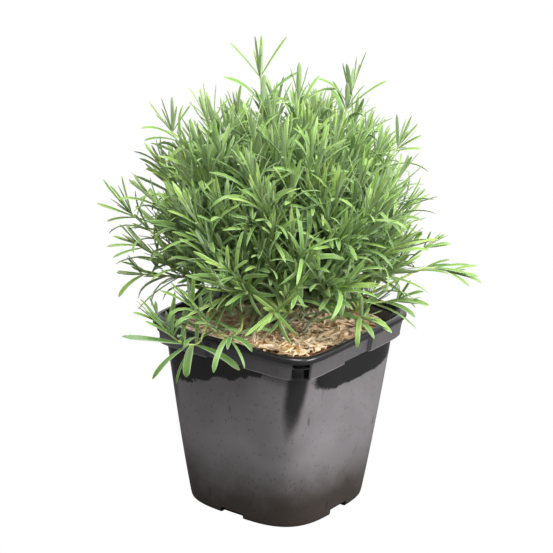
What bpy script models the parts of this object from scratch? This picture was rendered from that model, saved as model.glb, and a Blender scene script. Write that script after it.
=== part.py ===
"""Lavender in a square plastic nursery pot.

Metres, +Z up, origin at the middle of the pot's underside, the pot's sides along X and Y.
The pot holds a root ball, a bed of wood chips lies on that, and a woody crown carries the leafy shoots.
"""

import math

import bmesh
import bpy
import numpy as np
from mathutils import Matrix, Vector

# Driving dimensions of the pot
POT_HEIGHT = 0.175
RIM_HALF = 0.090          # half the width over the rolled rim
WAIST_HALF = 0.0808       # half the width of the wall just under the collar
BASE_HALF = 0.06875
FOOT_ROUNDING = 0.0018
WALL = 0.0016
LIP_HEIGHT = 0.006
LIP_PROFILE = ((0.0, 0.0012), (0.0020, 0.0), (0.0047, 0.0002), (0.0060, 0.0013))  # height up the lip, inset
COLLAR_BOTTOM = 0.1524
COLLAR_HALF_LOW = 0.08425
COLLAR_HALF_HIGH = 0.0868
RIM_SQUARENESS = 7.2      # k in |x|^k + |y|^k = half^k, 2 would be round
COLLAR_SQUARENESS = (8.8, 8.0)  # the same for the collar's lower and upper edge
COLLAR_BREAK = 0.040      # width of the break in the collar, in the middle of each side
SLOT_WIDTH = 0.015        # of the label slot in each corner of the collar
SLOT_FLOOR = 0.1095       # how far the slot's floor is from the pot's axis
SLOT_POCKETS = ((0.0065, 0.0086), (0.0139, 0.0026))   # middle above the collar's lower edge, and height
NOTCH = (0.025, 0.0055)   # width and height of the drainage notch at the foot of each side
GAP = 0.0004              # clearance between pieces that touch
ROUND_POINTS = 48         # points round each ring of the pot
CORNER_BUNCHING = 0.66    # under 1 draws those points towards the corners

# What fills the pot
ROOT_BALL_TOP = 0.154
MULCH_LOW = 0.160         # level of the chips at the sides and the back
MULCH_FRONT_RISE = 0.0105   # how much higher they lie in the front corner (+X, -Y)
MULCH_HOLE = 0.012
MULCH_CLEAR = 0.0010      # between the chips and the wall

# The plant
TRUNK_RADIUS = 0.0075
TRUNK_TOP = 0.184
LIMB_COUNT = 10
LIMB_START = Vector((0.0, 0.0, 0.177))
LIMB_RADII = (0.0036, 0.0026)
LIMB_LOWEST = 0.06        # cosine of the angle between the lowest limb and upright
LIMB_REACH = (0.038, 0.016)     # length of an upright limb, and what a level one adds to it
KNUCKLE_RADIUS = 0.0056
KNUCKLE_LOWEST = 0.193
KNUCKLE_SHOOTS = 6        # most shoots on one knuckle
KNUCKLE_SPREAD = math.radians(62)     # angle between those shoots and the limb
DOME_CENTRE = 0.238       # height of the widest part of the foliage
DOME_REACH = 0.117        # how far the shoot tips reach sideways
DOME_RISE = 0.121         # and how far they rise above the dome's centre
DOME_POWER = 2.7          # squareness of the dome in side view, 2 would be an ellipse
DOME_SHOOTS = 35
DOME_LOWEST = -0.30       # cosine of the angle between the lowest of them and upright
GOLDEN_TURN = math.pi * (3.0 - math.sqrt(5.0))
STEM_HALF = 0.0012        # half the side of the four-cornered stem
NODE_HALF = 0.0013        # half the height of the joint that a leaf grows from
STEM_SECTION = 0.022      # spacing of the sections along the leafless part of a straight stem
SECTION_TURN = math.radians(30)     # and the turn that adds one more
LEAFLESS_FOOT = 0.016     # no leaf grows nearer than this to the stem's foot
LEAF_NODES = (0.004, 0.018, 0.035, 0.055)     # distance of each leaf pair from the stem's tip
LEAF_LENGTHS = (0.034, 0.042, 0.044, 0.040)
LEAF_ANGLES = (16.0, 34.0, 48.0, 58.0)        # degrees between leaf and stem
LEAF_WIDTH = 0.0056
LEAF_THICKNESS = 0.0009
LEAF_RECURVE = 26.0       # degrees that a leaf bends back from base to tip
LEAF_STATIONS = ((0.34, 0.92), (0.70, 0.86), (1.0, 0.12))   # share of length, share of full width
STEM_CLEAR = 0.0040       # least distance between the centre lines of two stems
LEAF_CLEAR = 0.0068       # and between a leaf's centre line and another shoot

# Shoots with a place of their own: the points that the stem runs through after it leaves the crown.
PLACED_SHOOTS = {
    "tall_shoot_1": ((-0.012, -0.010, 0.310), (-0.018, -0.013, 0.392)),
    "tall_shoot_2": ((0.034, 0.022, 0.305), (0.047, 0.033, 0.384)),
    "tall_shoot_3": ((0.006, 0.006, 0.310), (0.008, 0.008, 0.374)),
    "right_trailing_shoot": ((0.086, 0.060, 0.210), (0.104, 0.075, 0.221), (0.121, 0.087, 0.219)),
    "right_shoot": ((0.080, 0.048, 0.215), (0.103, 0.073, 0.240)),
    "left_shoot": ((-0.072, -0.050, 0.226), (-0.109, -0.079, 0.266)),
    "left_low_shoot": ((-0.070, -0.054, 0.212), (-0.104, -0.074, 0.236)),
    "left_rear_shoot": ((-0.084, -0.046, 0.204), (-0.108, -0.066, 0.206)),
    "rim_shoot_1": ((0.010, -0.072, 0.193), (0.019, -0.087, 0.187), (0.018, -0.098, 0.184),
                    (0.004, -0.104, 0.190), (-0.022, -0.104, 0.208)),
    "rim_shoot_2": ((-0.022, -0.077, 0.193), (-0.013, -0.094, 0.184), (-0.014, -0.104, 0.172),
                    (-0.027, -0.109, 0.172), (-0.054, -0.110, 0.186)),
    "front_low_shoot": ((0.074, -0.010, 0.193), (0.096, -0.014, 0.197)),
    "right_low_shoot": ((0.076, 0.026, 0.194), (0.099, 0.040, 0.198)),
    "left_shoulder_shoot": ((-0.058, -0.042, 0.290), (-0.080, -0.058, 0.342)),
    "upper_left_shoot": ((-0.038, -0.040, 0.312), (-0.049, -0.048, 0.358)),
    "right_shoulder_shoot": ((0.060, 0.043, 0.292), (0.080, 0.058, 0.332)),
    "right_flank_shoot": ((0.074, 0.036, 0.258), (0.097, 0.050, 0.284)),
    "left_flank_shoot": ((-0.062, -0.066, 0.256), (-0.084, -0.084, 0.288)),
}
PLACED_SPACING = 0.034    # a dome shoot nearer than this to one of these is left out

STEM_SAMPLE = 0.004       # step at which a stem's centre line is read off


# ---------------------------------------------------------------- helpers

def linear(hex_colour):
    """Linear RGB of an sRGB hex colour."""
    channels = [int(hex_colour[i:i + 2], 16) / 255 for i in (0, 2, 4)]
    return [c / 12.92 if c <= 0.04045 else ((c + 0.055) / 1.055) ** 2.4 for c in channels]


def material(name, hex_colour, roughness):
    made = bpy.data.materials.new(name)
    made.use_nodes = True
    shader = made.node_tree.nodes["Principled BSDF"]
    shader.inputs["Base Color"].default_value = (*linear(hex_colour), 1.0)
    shader.inputs["Roughness"].default_value = roughness
    shader.inputs["Metallic"].default_value = 0.0
    made.diffuse_color = (*linear(hex_colour), 1.0)
    return made


def new_object(name, mesh, collection, finish=None):
    made = bpy.data.objects.new(name, mesh)
    collection.objects.link(made)
    if finish:
        mesh.materials.append(finish)
    return made


def mark_cutter(obj):
    obj.hide_render = True
    obj.display_type = "WIRE"
    return obj


def boolean(target, operand, operation):
    step = target.modifiers.new(operation.title(), "BOOLEAN")
    step.operation = operation
    step.object = operand
    step.solver = "EXACT"


def squarish_ring(half, squareness, height):
    """Ring of points on |x|^k + |y|^k = half^k, bunched towards the four corners."""
    turn = np.arange(ROUND_POINTS) * 2 * math.pi / ROUND_POINTS
    bunched = np.arctan2(np.sign(np.sin(turn)) * np.abs(np.sin(turn)) ** CORNER_BUNCHING,
                         np.sign(np.cos(turn)) * np.abs(np.cos(turn)) ** CORNER_BUNCHING)
    across, along = np.cos(bunched), np.sin(bunched)
    radius = half / (np.abs(across) ** squareness + np.abs(along) ** squareness) ** (1 / squareness)
    return np.stack([radius * across, radius * along, np.full(ROUND_POINTS, height)], axis=1)


def loft(name, rings, closed=False, cap_first=False, cap_last=False):
    """Mesh of quads between rings of equal count; closed joins the last ring to the first."""
    count = len(rings[0])
    pairs = len(rings) if closed else len(rings) - 1
    faces = []
    for row in range(pairs):
        low, high = row * count, ((row + 1) % len(rings)) * count
        for i in range(count):
            j = (i + 1) % count
            faces.append((low + i, low + j, high + j, high + i))
    if cap_first:
        faces.append(tuple(reversed(range(count))))
    if cap_last:
        faces.append(tuple(range((len(rings) - 1) * count, len(rings) * count)))
    mesh = bpy.data.meshes.new(name)
    mesh.from_pydata(np.concatenate(rings).tolist(), [], faces)
    mesh.update()
    return mesh


def boxes(name, placements, collection):
    """One cutter object made of a box for each (matrix, size) pair."""
    bm = bmesh.new()
    for matrix, size in placements:
        bmesh.ops.create_cube(bm, size=1.0, matrix=matrix @ Matrix.Diagonal((*size, 1.0)))
    mesh = bpy.data.meshes.new(name)
    bm.to_mesh(mesh)
    bm.free()
    return mark_cutter(new_object(name, mesh, collection))


def smooth_route(points, step):
    """Curve through the points, read off at equal steps of about the given length.

    Each span is a cubic Hermite curve; the slope at a point is the mean of the slopes of the two spans
    that meet there, the shorter span counting for more.
    """
    knots = np.array([tuple(p) for p in points], dtype=float)
    spans = np.diff(knots, axis=0)
    lengths = np.linalg.norm(spans, axis=1)[:, None]
    slopes = spans / lengths
    inner = (slopes[:-1] * lengths[1:] + slopes[1:] * lengths[:-1]) / (lengths[:-1] + lengths[1:])
    tangents = np.vstack([slopes[:1], inner, slopes[-1:]])
    u = np.linspace(0, 1, 24, endpoint=False)[:, None]
    pieces = []
    for i, length in enumerate(lengths):
        pieces.append((1 - 3 * u ** 2 + 2 * u ** 3) * knots[i] + (3 * u ** 2 - 2 * u ** 3) * knots[i + 1]
                      + length * ((u - 2 * u ** 2 + u ** 3) * tangents[i] + (u ** 3 - u ** 2) * tangents[i + 1]))
    fine = np.vstack(pieces + [knots[-1:]])
    travelled = np.concatenate([[0], np.cumsum(np.linalg.norm(np.diff(fine, axis=0), axis=1))])
    stops = np.linspace(0, travelled[-1], max(3, round(travelled[-1] / step) + 1))
    return np.stack([np.interp(stops, travelled, fine[:, k]) for k in range(3)], axis=1)


def read_route(route, distance):
    """Point and direction at a distance along an evenly sampled route."""
    lengths = np.concatenate([[0], np.cumsum(np.linalg.norm(np.diff(route, axis=0), axis=1))])
    at = Vector([np.interp(distance, lengths, route[:, k]) for k in range(3)])
    reach = 0.5 * lengths[-1] / (len(route) - 1)
    ahead = Vector([np.interp(distance + reach, lengths, route[:, k]) for k in range(3)])
    behind = Vector([np.interp(distance - reach, lengths, route[:, k]) for k in range(3)])
    return at, (ahead - behind).normalized()


# ---------------------------------------------------------------- pot and its filling

def wall_half(height):
    """Half width of the wall's outside at a height."""
    return BASE_HALF + (WAIST_HALF - BASE_HALF) * height / COLLAR_BOTTOM


def wall_squareness(height):
    """The wall is nearly round-cornered at the foot and square under the rim."""
    return 3.33 + 3.5 * height / POT_HEIGHT


def build_pot(parts, cutters, finish):
    lip = POT_HEIGHT - LIP_HEIGHT
    heights = (FOOT_ROUNDING, 0.040, 0.080, 0.120, COLLAR_BOTTOM, lip - 0.0006)
    rings = [squarish_ring(BASE_HALF - FOOT_ROUNDING, wall_squareness(0), 0.0)]
    rings += [squarish_ring(wall_half(z), wall_squareness(z), z) for z in heights]
    rings += [squarish_ring(RIM_HALF - inset, RIM_SQUARENESS, lip + up) for up, inset in LIP_PROFILE]
    pot = new_object("pot", loft("pot", rings, cap_first=True), parts, finish)
    shell = pot.modifiers.new("Wall", "SOLIDIFY")
    shell.thickness = WALL
    shell.offset = -1.0
    shell.use_even_offset = True
    collar = build_collar(cutters, lip)
    boolean(pot, collar, "UNION")
    boolean(pot, label_slots(cutters), "DIFFERENCE")
    boolean(pot, drainage_notches(cutters), "DIFFERENCE")
    return pot


def build_collar(cutters, lip):
    """Raised band under the rim, its back sunk half way into the wall, broken on each side."""
    sink = WALL / 2
    low, high = COLLAR_BOTTOM, lip + 0.0010
    rings = [squarish_ring(COLLAR_HALF_LOW, COLLAR_SQUARENESS[0], low),
             squarish_ring(COLLAR_HALF_HIGH, COLLAR_SQUARENESS[1], high),
             squarish_ring(wall_half(high) - sink, wall_squareness(high), high),
             squarish_ring(wall_half(low) - sink, wall_squareness(low), low)]
    band = mark_cutter(new_object("collar_band", loft("collar_band", rings, closed=True), cutters))
    size = (0.030, COLLAR_BREAK, 0.0300)
    places = []
    for quarter in range(4):
        turn = Matrix.Rotation(quarter * math.pi / 2, 4, "Z")
        shift = Matrix.Translation((RIM_HALF - 0.004, 0, COLLAR_BOTTOM + 0.0050))
        places.append((turn @ shift, size))
    boolean(band, boxes("collar_breaks", places, cutters), "DIFFERENCE")
    return band


def label_slots(cutters):
    """Two pockets in each corner of the collar, with a ridge left between them."""
    depth = 0.011
    places = []
    for quarter in range(4):
        turn = Matrix.Rotation((quarter + 0.5) * math.pi / 2, 4, "Z")
        for middle, tall in SLOT_POCKETS:
            shift = Matrix.Translation((SLOT_FLOOR + depth / 2, 0, COLLAR_BOTTOM + middle))
            places.append((turn @ shift, (depth, SLOT_WIDTH, tall)))
    return boxes("label_slots", places, cutters)


def drainage_notches(cutters):
    width, height = NOTCH
    places = []
    for quarter in range(4):
        turn = Matrix.Rotation(quarter * math.pi / 2, 4, "Z")
        places.append((turn @ Matrix.Translation((BASE_HALF, 0, 0)), (0.012, width, 2 * height)))
    return boxes("drainage_notches", places, cutters)


def build_root_ball(parts, finish):
    inset = WALL + 2 * GAP
    heights = (WALL + GAP, 0.008, 0.060, 0.110, ROOT_BALL_TOP)
    halves = [wall_half(z) - inset for z in heights]
    halves[0] -= 0.003
    rings = [squarish_ring(half, wall_squareness(z), z) for half, z in zip(halves, heights)]
    mesh = loft("root_ball", rings, cap_first=True, cap_last=True)
    return new_object("root_ball", mesh, parts, finish)


def mulch_level(x, y):
    """Height of the chips: higher towards the front corner, with a slight mound round the crown."""
    forward = np.clip(1.25 * (x - y) / (2 * WAIST_HALF), 0, 1)
    mound = 0.004 * np.exp(-(x ** 2 + y ** 2) / 0.035 ** 2)
    lumps = 0.0008 * np.sin(310 * x + 1.3) * np.sin(270 * y + 0.4)
    return MULCH_LOW + MULCH_FRONT_RISE * forward ** 2 * (3 - 2 * forward) + mound + lumps


def build_mulch(parts, finish):
    """Ring-shaped bed with a lumpy top, closed round the hole that the trunk stands in."""
    edge = wall_half(MULCH_LOW) - WALL - MULCH_CLEAR
    outline = squarish_ring(1.0, wall_squareness(MULCH_LOW), 0.0)
    circle = outline / np.linalg.norm(outline, axis=1)[:, None]
    bottom = ROOT_BALL_TOP + GAP
    rings = []
    for share in (1.0, 0.86, 0.70, 0.54, 0.38, 0.24, 0.0):
        ring = (MULCH_HOLE * (1 - share) * circle + edge * share * outline)
        ring[:, 2] = mulch_level(ring[:, 0], ring[:, 1])
        rings.append(ring)
    for share in (0.0, 1.0):
        ring = MULCH_HOLE * (1 - share) * circle + (edge - 0.6 * MULCH_CLEAR) * share * outline
        ring[:, 2] = bottom
        rings.append(ring)
    return new_object("wood_chip_mulch", loft("wood_chip_mulch", rings, closed=True), parts, finish)


# ---------------------------------------------------------------- crown

def spiral_direction(index, count, lowest):
    """Direction number index of count, spread evenly from the top of a dome down to cosine lowest."""
    rise = 1 - (1 - lowest) * (index + 0.5) / count
    out = math.sqrt(1 - rise * rise)
    turn = index * GOLDEN_TURN
    return Vector((out * math.cos(turn), out * math.sin(turn), rise))


def knuckle_places():
    """Ends of the woody limbs, where the shoots start."""
    places = []
    for index in range(LIMB_COUNT):
        heading = spiral_direction(index, LIMB_COUNT, LIMB_LOWEST)
        place = LIMB_START + heading * (LIMB_REACH[0] + LIMB_REACH[1] * math.sqrt(1 - heading.z ** 2))
        place.z = max(place.z, KNUCKLE_LOWEST)
        places.append(place)
    return places


def tube(name, route, radii, collection):
    """Mesh of a round tube along the route, tapering evenly between the two radii."""
    curve = bpy.data.curves.new(name, "CURVE")
    curve.dimensions = "3D"
    curve.bevel_depth = radii[0]
    curve.bevel_resolution = 1
    curve.use_fill_caps = True
    line = curve.splines.new("POLY")
    line.points.add(len(route) - 1)
    for i, at in enumerate(route):
        line.points[i].co = (*at, 1.0)
        line.points[i].radius = 1 + (radii[1] / radii[0] - 1) * i / (len(route) - 1)
    guide = new_object(name, curve, collection)
    bpy.context.view_layer.update()
    evaluated = guide.evaluated_get(bpy.context.evaluated_depsgraph_get())
    mesh = bpy.data.meshes.new_from_object(evaluated)
    bpy.data.objects.remove(guide)
    bm = bmesh.new()
    bm.from_mesh(mesh)
    bmesh.ops.remove_doubles(bm, verts=bm.verts, dist=0.00001)
    bmesh.ops.recalc_face_normals(bm, faces=bm.faces)
    bm.to_mesh(mesh)
    bm.free()
    return mesh


def build_crown(parts, cutters, finish, knuckles):
    """Trunk, limbs and end knuckles united into one woody piece."""
    foot = Vector((0, 0, ROOT_BALL_TOP + GAP))
    trunk_route = [foot, (0, 0, 0.163), (0.0012, -0.0008, 0.171), (0.0006, 0.0006, TRUNK_TOP)]
    crown = new_object("woody_crown", tube("trunk", trunk_route, (TRUNK_RADIUS * 1.1, TRUNK_RADIUS), cutters),
                       parts, finish)
    for index, knuckle in enumerate(knuckles):
        bow = (LIMB_START + knuckle) / 2 + Vector((0, 0, 0.003 + 0.001 * (index % 3)))
        route = smooth_route([LIMB_START, bow, knuckle], 0.009)
        limb = new_object(f"limb_{index + 1:02d}", tube("limb", route, LIMB_RADII, cutters), cutters)
        boolean(crown, mark_cutter(limb), "UNION")
        bm = bmesh.new()
        bmesh.ops.create_icosphere(bm, subdivisions=1, radius=KNUCKLE_RADIUS,
                                   matrix=Matrix.Translation(knuckle))
        mesh = bpy.data.meshes.new("knuckle")
        bm.to_mesh(mesh)
        bm.free()
        knob = new_object(f"knuckle_{index + 1:02d}", mesh, cutters)
        boolean(crown, mark_cutter(knob), "UNION")
    return crown


# ---------------------------------------------------------------- routes of the shoots

def dome_point(heading):
    """Where a direction from the dome's centre meets the foliage's outer surface."""
    out = math.hypot(heading.x, heading.y)
    power = DOME_POWER
    reach = ((out / DOME_REACH) ** power + (abs(heading.z) / DOME_RISE) ** power) ** (-1 / power)
    return Vector((0, 0, DOME_CENTRE)) + heading * reach


def tip_lean(heading):
    """Direction of a dome shoot's tip: upright on top, leaning out and then level lower down."""
    polar = math.acos(heading.z)
    lean = polar * (0.5 + 0.2 * (polar / (math.pi / 2)) ** 2)
    flat = Vector((heading.x, heading.y, 0)).normalized()
    return flat * math.sin(lean) + Vector((0, 0, math.cos(lean)))


def choose_knuckle(tip, knuckles, taken):
    """Number of the knuckle that points most directly at the tip and still has room."""
    wanted = (tip - LIMB_START).normalized()
    order = sorted(range(len(knuckles)),
                   key=lambda k: -wanted.dot((knuckles[k] - LIMB_START).normalized()))
    return next(k for k in order if taken[k] < KNUCKLE_SHOOTS)


def leave_knuckle(knuckle, targets):
    """First two points of each stem on a knuckle: evenly spaced round the limb, each facing its target."""
    axis = (knuckle - LIMB_START).normalized()
    level = axis.cross(Vector((0.13, 0.21, 0.97))).normalized()
    square = axis.cross(level)
    wanted = [(target - knuckle).normalized() for target in targets]
    bearings = [math.atan2(heading.dot(square), heading.dot(level)) for heading in wanted]
    order = sorted(range(len(targets)), key=lambda i: bearings[i])
    spacing = 2 * math.pi / len(targets)
    slips = [bearings[i] - spacing * rank for rank, i in enumerate(order)]
    offset = math.atan2(sum(map(math.sin, slips)), sum(map(math.cos, slips)))
    starts = [None] * len(targets)
    spread = KNUCKLE_SPREAD if len(targets) > 1 else 0.0
    for rank, i in enumerate(order):
        bearing = offset + spacing * rank
        away = (axis * math.cos(spread)
                + (level * math.cos(bearing) + square * math.sin(bearing)) * math.sin(spread))
        start = knuckle + away * (KNUCKLE_RADIUS + GAP)
        starts[i] = [start, start + (away + 0.6 * wanted[i]).normalized() * 0.010]
    return starts


def plan_shoots(knuckles):
    """Control points of every stem, the placed ones first and then the even spread of the dome."""
    ends = {name: [Vector(p) for p in through] for name, through in PLACED_SHOOTS.items()}
    placed_tips = [points[-1] for points in ends.values()]
    headings = {}
    for index in range(DOME_SHOOTS):
        heading = spiral_direction(index, DOME_SHOOTS, DOME_LOWEST)
        tip = dome_point(heading)
        if min((tip - other).length for other in placed_tips) > PLACED_SPACING:
            name = f"dome_shoot_{len(headings) + 1:02d}"
            headings[name] = heading
            ends[name] = [tip]
    on_knuckle = [[] for _ in knuckles]
    for name, points in ends.items():
        on_knuckle[choose_knuckle(points[0], knuckles, [len(names) for names in on_knuckle])].append(name)
    starts = {}
    for knuckle, names in zip(knuckles, on_knuckle):
        if names:
            starts.update(zip(names, leave_knuckle(knuckle, [ends[name][0] for name in names])))
    plans = {}
    for name, points in ends.items():
        if name in headings:
            reach = (points[0] - starts[name][1]).length
            points = [points[0] - tip_lean(headings[name]) * 0.40 * reach, points[0]]
        plans[name] = starts[name] + points
    return plans


def sideways(direction, angle, distance):
    """Offset square to a direction."""
    level = direction.cross(Vector((0.31, 0.17, 0.94))).normalized()
    return (level * math.cos(angle) + direction.cross(level) * math.sin(angle)) * distance


def nearest(samples, others):
    """Least distance between two sets of points."""
    if len(others) == 0:
        return 1.0
    return np.sqrt(((samples[:, None, :] - others[None, :, :]) ** 2).sum(axis=2)).min()


def route_stems(plans):
    """Stem centre lines; a stem that would touch an earlier one bends a little aside at its middle."""
    routes = {}
    laid = np.zeros((0, 3))
    for name, points in plans.items():
        for attempt in range(30):
            swung = list(points)
            swung[2] = points[2] + sideways((points[2] - points[1]).normalized(), attempt * GOLDEN_TURN,
                                            0.0008 * attempt)
            route = smooth_route(swung, STEM_SAMPLE)
            fine = smooth_route(swung, STEM_SAMPLE / 4)
            if nearest(fine, laid) > STEM_CLEAR:
                break
        routes[name] = route
        laid = np.vstack([laid, fine])
    return routes


# ---------------------------------------------------------------- shoots

def move_section(face, centre, across, along, half_across, half_along):
    """Set a four-cornered face to a rectangle, keeping each corner in its own quadrant."""
    middle = face.calc_center_median()
    for corner in face.verts:
        offset = corner.co - middle
        corner.co = (centre + across * math.copysign(half_across, offset.dot(across))
                     + along * math.copysign(half_along, offset.dot(along)))


def extrude(bm, face):
    """Extrude one face; gives the new end face and the four side faces."""
    end = bmesh.ops.extrude_discrete_faces(bm, faces=[face])["faces"][0]
    sides = [other for edge in end.edges for other in edge.link_faces if other is not end]
    return end, sides


def stem_frames(route, stops):
    """Point, direction and two square axes at each stop, carried along the stem without twist."""
    frames = []
    across = None
    for distance in stops:
        at, direction = read_route(route, distance)
        if across is None:
            across = direction.cross(Vector((0.2, 0.1, 1.0))).normalized()
        across = (across - direction * across.dot(direction)).normalized()
        frames.append((at, direction, across, direction.cross(across)))
    return frames


def leaf_line(base, direction, outward, length, angle):
    """Centre points, directions and face directions of a leaf that bends back along a circular arc."""
    stations = []
    at, share_before = base.copy(), 0.0
    for share, width in LEAF_STATIONS:
        middle = math.radians(angle + LEAF_RECURVE * (share + share_before) / 2)
        at = at + (direction * math.cos(middle) + outward * math.sin(middle)) * length * (share - share_before)
        bend = math.radians(angle + LEAF_RECURVE * share)
        upper = direction * math.sin(bend) - outward * math.cos(bend)
        stations.append((at, upper, width))
        share_before = share
    return stations


def stem_stops(route):
    """Where along the stem its sections lie, and which of them start the joint of a leaf pair.

    Between joints the sections are spread by effort, which grows with length and with turning, so they
    lie closer together where the stem bends.
    """
    steps = np.diff(route, axis=0)
    lengths = np.linalg.norm(steps, axis=1)
    headings = steps / lengths[:, None]
    turns = np.arccos(np.clip((headings[1:] * headings[:-1]).sum(axis=1), -1, 1))
    effort = np.concatenate([[0], np.cumsum(lengths / STEM_SECTION + np.append(turns, 0) / SECTION_TURN)])
    travelled = np.concatenate([[0], np.cumsum(lengths)])
    total = float(travelled[-1])

    def between(first, last):
        low, high = np.interp((first, last), travelled, effort)
        return list(np.interp(np.linspace(low, high, max(1, round(high - low)) + 1), effort, travelled))

    stops, joints, reached = [], {}, 0.0
    for pair in reversed([p for p, distance in enumerate(LEAF_NODES) if distance < total - LEAFLESS_FOOT]):
        joint = total - LEAF_NODES[pair] - NODE_HALF
        stops += between(reached, joint)
        joints[len(stops) - 1] = pair
        reached = joint + 2 * NODE_HALF
    stops += [reached, total]
    return stops, joints


def inside_pot_or_mulch(points):
    """True if any point lies in, or just over, the rim, the wall or the chips."""
    half = RIM_HALF + 0.006
    within = (np.abs(points[:, 0] / half) ** 7 + np.abs(points[:, 1] / half) ** 7) < 1
    return bool((within & (points[:, 2] < POT_HEIGHT + 0.005)).any())


def grow_shoot(name, route, others, parts, finish):
    """Stem and leaves as one solid: every leaf is drawn out of a side of the square stem."""
    stops, joints = stem_stops(route)
    frames = stem_frames(route, stops)
    bm = bmesh.new()
    bmesh.ops.create_cube(bm, size=0.001)
    bm.faces.ensure_lookup_table()
    foot = next(f for f in bm.faces if f.normal.z < -0.5)
    end = next(f for f in bm.faces if f.normal.z > 0.5)
    foot_corners = [corner.co.copy() for corner in foot.verts]
    end_corners = [corner.co.copy() for corner in end.verts]
    for face, corners, frame in ((foot, foot_corners, frames[0]), (end, end_corners, frames[1])):
        for corner, unit in zip(face.verts, corners):
            corner.co = (frame[0] + frame[2] * math.copysign(STEM_HALF, unit.x)
                         + frame[3] * math.copysign(STEM_HALF, unit.y))
    starts = []
    for number in range(2, len(frames)):
        at, direction, across, along = frames[number]
        half = STEM_HALF * (0.6 if number == len(frames) - 1 else 1.0)
        end, sides = extrude(bm, end)
        move_section(end, at, across, along, half, half)
        if number - 1 in joints:
            axis = across if joints[number - 1] % 2 else along
            starts += [(side, joints[number - 1], number) for side in sides
                       if abs((side.calc_center_median() - at).dot(axis)) > 0.5 * STEM_HALF]
    leaf_points = [grow_leaf(bm, side, pair, frames[number], others) for side, pair, number in starts]
    mesh = bpy.data.meshes.new(name)
    bm.to_mesh(mesh)
    bm.free()
    new_object(name, mesh, parts, finish)
    return [points for points in leaf_points if points is not None]


def grow_leaf(bm, side, pair, frame, others):
    """Draw one leaf out of a side of the stem, if there is a place for it clear of the other shoots."""
    at, direction, across, along = frame
    base = side.calc_center_median()
    outward = base - at
    outward = (outward - direction * outward.dot(direction)).normalized()
    width_axis = direction.cross(outward)
    for shorter, closer in ((1.0, 0), (1.0, -10), (0.85, 0), (0.85, -14), (0.7, -8), (0.6, -20), (0.45, 0)):
        angle = max(8.0, LEAF_ANGLES[pair] + closer)
        stations = leaf_line(base, direction, outward, LEAF_LENGTHS[pair] * shorter, angle)
        centres = np.array([tuple(base)] + [tuple(station[0]) for station in stations])
        steps = np.linspace(0, len(centres) - 1, 16)
        line = np.stack([np.interp(steps, range(len(centres)), centres[:, k]) for k in range(3)], axis=1)
        if nearest(line, others) > LEAF_CLEAR and not inside_pot_or_mulch(line):
            break
    else:
        return None
    for centre, upper, width in stations:
        side, _ = extrude(bm, side)
        thickness = LEAF_THICKNESS * (0.5 if width < 0.5 else 1.0)
        move_section(side, centre, width_axis, upper, width * LEAF_WIDTH / 2, thickness / 2)
    return line


def build_shoots(parts, finishes, knuckles):
    routes = route_stems(plan_shoots(knuckles))
    stems = {name: smooth_route(route, STEM_SAMPLE / 2) for name, route in routes.items()}
    woody = np.array([tuple(LIMB_START.lerp(k, share)) for k in knuckles for share in np.linspace(0, 1, 8)])
    grown = np.zeros((0, 3))
    for number, (name, route) in enumerate(routes.items()):
        others = np.vstack([woody, grown] + [line for other, line in stems.items() if other != name])
        leaves = grow_shoot(name, route, others, parts, finishes[number % len(finishes)])
        grown = np.vstack([grown] + leaves)


# ---------------------------------------------------------------- the object

def main():
    for obj in list(bpy.data.objects):
        bpy.data.objects.remove(obj, do_unlink=True)
    parts = bpy.data.collections.new("potted_lavender")
    cutters = bpy.data.collections.new("cutters")
    for collection in (parts, cutters):
        bpy.context.scene.collection.children.link(collection)
    build_pot(parts, cutters, material("black_moulded_plastic", "2B2A2D", 0.42))
    build_root_ball(parts, material("compost_and_roots", "6B5138", 0.95))
    build_mulch(parts, material("pale_wood_chips", "C3A57D", 0.85))
    knuckles = knuckle_places()
    build_crown(parts, cutters, material("grey_brown_bark", "6A5744", 0.90), knuckles)
    greens = [material(name, colour, 0.60) for name, colour in
              (("leaf_green", "7C9C50"), ("leaf_grey_green", "87A468"), ("leaf_deep_green", "6C8C46"))]
    build_shoots(parts, greens, knuckles)


main()
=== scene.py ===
"""Lavender in a square plastic nursery pot: the fine surfaces and finishes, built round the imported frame.

Metres, +Z up, origin at the middle of the pot's underside. Every piece is worked out with numpy from a few
sizes of the real thing and from the boxes of the frame's nodes.
"""

import math

import bpy
import numpy as np
from mathutils import Matrix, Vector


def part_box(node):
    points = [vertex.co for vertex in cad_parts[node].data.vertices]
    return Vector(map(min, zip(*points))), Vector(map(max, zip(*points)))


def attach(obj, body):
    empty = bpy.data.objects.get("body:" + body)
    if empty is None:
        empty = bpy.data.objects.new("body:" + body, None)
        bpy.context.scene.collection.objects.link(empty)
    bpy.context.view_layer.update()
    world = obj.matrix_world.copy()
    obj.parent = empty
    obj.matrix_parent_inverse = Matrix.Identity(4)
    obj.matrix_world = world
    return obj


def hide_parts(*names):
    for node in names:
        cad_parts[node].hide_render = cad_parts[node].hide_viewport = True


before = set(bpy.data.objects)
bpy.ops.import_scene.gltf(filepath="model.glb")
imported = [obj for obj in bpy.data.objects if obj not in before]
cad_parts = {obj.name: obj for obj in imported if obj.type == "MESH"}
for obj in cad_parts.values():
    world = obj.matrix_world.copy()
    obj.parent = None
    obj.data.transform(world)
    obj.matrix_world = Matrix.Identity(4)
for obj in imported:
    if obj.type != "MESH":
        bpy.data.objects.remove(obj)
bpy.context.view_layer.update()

MM = 0.001
UP = np.array([0.0, 0.0, 1.0])
GOLDEN_TURN = math.pi * (3.0 - math.sqrt(5.0))
random = np.random.default_rng(20)

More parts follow.
